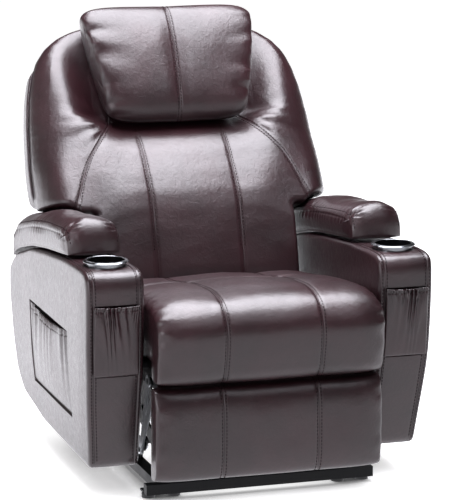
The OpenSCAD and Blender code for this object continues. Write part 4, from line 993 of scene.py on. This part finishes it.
# Shell behind the cushion: its outline runs 4 mm outside the wings up to the shoulders, and 14 mm
# inside them round the top
SHELL_DEPTH, SHELL_WALL, SHELL_ROUND = 54, 9, 9
SHELL_LOW, SHELL_TOP, SHOULDER_U = -138, 590, 478
wing_foot = WING_FRONT + (WING_REAR - WING_FRONT) * (BACK_PAD + SHELL_DEPTH) / BACK_PAD - 8
beside = np.arange(wing_foot + 12, SHOULDER_U, 12)
above = np.linspace(SHOULDER_U + 14, SHELL_TOP, 9)
half = np.array([(0, SHELL_LOW), (LOW_HALF - 8, SHELL_LOW), (LOW_HALF - 8, wing_foot),
                 (wing_half(wing_foot) - 8, wing_foot), *zip(wing_half(beside) + 4, beside),
                 (wing_half(SHOULDER_U) + 6, SHOULDER_U), *zip(wing_half(above) - 14, above),
                 (0, SHELL_TOP)])
ring = np.vstack([half, half[::-1] * np.array([-1, 1]), half[:1]])
way = distances(ring)
ring = resampled(ring, way, np.linspace(0, way[-1], 480, endpoint=False))
for _ in range(10):
    ring = (np.roll(ring, 1, 0) + ring * 2 + np.roll(ring, -1, 0)) / 4
slope = np.roll(ring, -1, 0) - np.roll(ring, 1, 0)
out = unit(np.stack([slope[:, 1], -slope[:, 0]], -1))
hub = np.array([0, 250])


def shell_ring(inset, v, share=1.0):
    """A ring of the shell at depth v: the outline drawn in by inset and shrunk to its hub."""
    flat = hub + (ring - out * inset - hub) * share
    return leaned(flat[:, 0], v, flat[:, 1])


# Rings from the middle of the shell's inside, over its rim and round edge, to its middle behind
rear_v = BACK_PAD + SHELL_DEPTH
rings = [shell_ring(SHELL_WALL + 2, rear_v - SHELL_WALL - 4, q) for q in (0, 0.3, 0.6, 0.85, 0.97)]
rings += [shell_ring(inset, BACK_PAD + v)
          for inset, v in ((SHELL_WALL, 25), (SHELL_WALL, 0.4), (1, 0.4), (0, 2), (0, 16))]
rings += [shell_ring(SHELL_ROUND * (1 - math.cos(b)), rear_v - 2 - SHELL_ROUND * (1 - math.sin(b)))
          for b in np.radians(np.linspace(0, 90, 9))]
rings += [shell_ring(SHELL_ROUND, rear_v - 2 * q ** 2, q) for q in (0.985, 0.95, 0.85, 0.6, 0.3, 0)]
shell = piece("back_shell", [closed(np.stack(rings))], "backrest")
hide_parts("back_rear_cover")


# ---- Headrest pillow --------
# Plump leather pillow, wider at its top, gathered at both ends and sewn down its middle with a
# double seam. It hangs in the hollow of the backrest.
PILLOW_STOPS = [-PILLOW_HALF, 0, PILLOW_HALF]
PILLOW_DEEP = 11  # from the backrest's front plane back to the pillow's front
PILLOW_ROUND = 0.84  # exponent of its profile, which 1 would make an oval
pillow_x = grid_lines(PILLOW_STOPS, 6.5, PILLOW_STOPS)
angle = np.radians(np.linspace(0, 360, 110, endpoint=False))
x, a = np.meshgrid(pillow_x, angle, indexing="ij")
s, inset = x / PILLOW_HALF, PILLOW_HALF - np.abs(x)
k = 1 - puff(s, 5.5, 0.42)
c, q = np.cos(a), np.sin(a)
v = PILLOW_T / 2 * (1 - 0.4 * k) * np.sign(c) * np.abs(c) ** PILLOW_ROUND
u = (PILLOW_H / 2 - 44 * k) * np.sign(q) * np.abs(q) ** PILLOW_ROUND
face = smooth(-c * 2 + 0.2)
flat = xyz(x, 0, u)
pinch = 1 - np.abs(np.sin(u / 10.5 + 1.3 * np.sin(u / 31 + s) + 0.004 * inset * np.sign(u))) ** 0.7
tucks = (9.5 * pinch * np.exp(-inset / 30) * (0.7 + 0.3 * np.sin(u / 37 + 2 * s))
         + 3.5 * np.cos(u / 19 + 2 * np.sin(u / 47 + s)) * dent(inset, 60))
valley = seam(x, 3.6) + 6 * dent(x, 26)
lump = 0.9 * ripple(flat, 200, 41) + 0.2 * ripple(flat, 70, 42)
depth = PILLOW_T / 2 + PILLOW_DEEP + v + (valley - lump * (1 - dent(x, 20)) + tucks) * face
pillow = leaned(x * pillow_wide(u), depth, PILLOW_MID + u - 5 * puff(s, 2, 1) * np.maximum(q, 0))
pillow_stitches = stitches(pillow, nearest(pillow_x, (-STITCH_OFF, STITCH_OFF)), slice(24, 88), 55,
                           (0, -1, 0))
pillow = capped(pillow, (OWN, OWN, OWN), (6, 0, 0), (0.985, 0.95, 0.88, 0.75, 0.55, 0.3, 0.0))
cover = piece("pillow_leather", [closed(pillow)], "backrest")
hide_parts("headrest_pillow")
thread_piece("pillow_stitches", pillow_stitches, "backrest")


# ---- Frame and mechanism --------
# The CAD parts keep their shapes and get their real finishes: powder-coated and zinc-plated steel,
# spun stainless steel, moulded plastic, plywood, webbing and felt.
def finish_of(name, colour, rough, metal=0.0, grain=0.002, bump=0.3, stretch=(1, 1, 1)):
    """Material with a toned noise: grain is its size in metres, bump its relief's strength."""
    made, tree, shader, place = surface(name)
    scaled = node(tree, "Mapping", {"Vector": place, "Scale": stretch})
    fine = node(tree, "TexNoise", {"Vector": scaled, "Scale": 1 / grain, "Detail": 3})
    broad = node(tree, "TexNoise", {"Vector": scaled, "Scale": 22, "Detail": 4})
    gloss = mapped(tree, broad, 0.3, 0.7, rough - 0.06, rough + 0.06)
    relief = node(tree, "Bump", {"Height": fine, "Strength": bump, "Distance": 0.0003})
    wire(tree, shader, {"Base Color": tones(tree, broad, *colour, 0.3, 0.7), "Roughness": gloss,
                        "Normal": relief, "Metallic": metal})
    return made


def dress(material, *names):
    """Gives CAD nodes a material."""
    for name in names:
        data = bpy.data.objects[name].data
        data.materials.clear()
        data.materials.append(material)


coat = finish_of("black_powder_coat", ("#08090a", "#111214"), 0.5)
coat.node_tree.nodes["Principled BSDF"].inputs["Specular IOR Level"].default_value = 0.2
dress(coat, "base_side_rails", "base_front_bar", "base_rear_bar", "base_pivot_brackets",
      "lift_arms", "lift_torque_tube", "lift_stays", "carriage_rails", "carriage_cross_tubes",
      "carriage_lift_plates", "recline_brackets", "footrest_drive_tube", "footrest_brackets",
      "back_hinge_plates", "arm_spacers")
dress(finish_of("zinc_plated_steel", ("#a9adb2", "#c6c9cc"), 0.32, 1.0, 0.006, 0.12),
      "base_pivot_pins", "carriage_pins", "lift_rod", "recline_rod", "footrest_drive_links",
      "footrest_push_links", "arm_bolts", "seat_springs")
steel = finish_of("spun_stainless_steel", ("#75777a", "#97999c"), 0.22, 1.0, 0.004, 0.08,
                  stretch=(1, 1, 9))
# The cup's inside is drawn near black and not metallic, a painted shade for its deep hollow:
# everything nearer to its axis than the rim
CUP_RIM = 0.0443
tree = steel.node_tree
shader = tree.nodes["Principled BSDF"]
at = node(tree, "SeparateXYZ", {0: node(tree, "TexCoord").outputs["Object"]})
beside = node(tree, "Math", {0: at.outputs["X"]}, operation="ABSOLUTE")
dx = node(tree, "Math", {0: beside, 1: ARM_MID / 1000}, operation="SUBTRACT")
dy = node(tree, "Math", {0: at.outputs["Y"], 1: CUP_Y / 1000}, operation="SUBTRACT")
flat_off = node(tree, "CombineXYZ", {"X": dx, "Y": dy})
far = node(tree, "VectorMath", {0: flat_off}, operation="LENGTH")
rim = mapped(tree, far.outputs["Value"], CUP_RIM, CUP_RIM + 0.0009, 0.0, 1.0)
# Inputs 6 and 7 and output 2 of a colour mix are its two colours and their mixture
bare = shader.inputs["Base Color"].links[0].from_socket
painted_cup_shade = node(tree, "Mix", {0: rim, 6: linear("#0b0b0c"), 7: bare}, data_type="RGBA")
wire(tree, shader, {"Base Color": painted_cup_shade.outputs[2], "Metallic": rim})
dress(steel, "cup_holder_left", "cup_holder_right")
dress(finish_of("textured_black_plastic", ("#0e0f10", "#191a1b"), 0.5, grain=0.0012, bump=0.5),
      "base_feet", "power_supply", "lift_motor", "recline_motor", "control_box",
      "seat_massage_motors", "back_massage_motors")
dress(finish_of("birch_plywood", ("#b99768", "#d8bd90"), 0.6, grain=0.003, stretch=(0.12, 1, 1)),
      "arm_frame_left", "arm_frame_right", "back_frame")
# The seat box and footrest board are drawn near black: painted shade for the gaps beside the
# cushions where they show
dress(finish_of("plywood_in_painted_shade", ("#12100f", "#221e1c"), 0.65, grain=0.003,
                stretch=(0.12, 1, 1)), "seat_box", "footrest_board")
dress(finish_of("woven_webbing", ("#141414", "#242424"), 0.75, grain=0.0016, bump=0.8,
                stretch=(1, 0.5, 2)), "back_webbing")
dress(finish_of("heater_felt", ("#8a4c32", "#a8674a"), 0.9, grain=0.0014, bump=0.9),
      "lumbar_heating_pad")
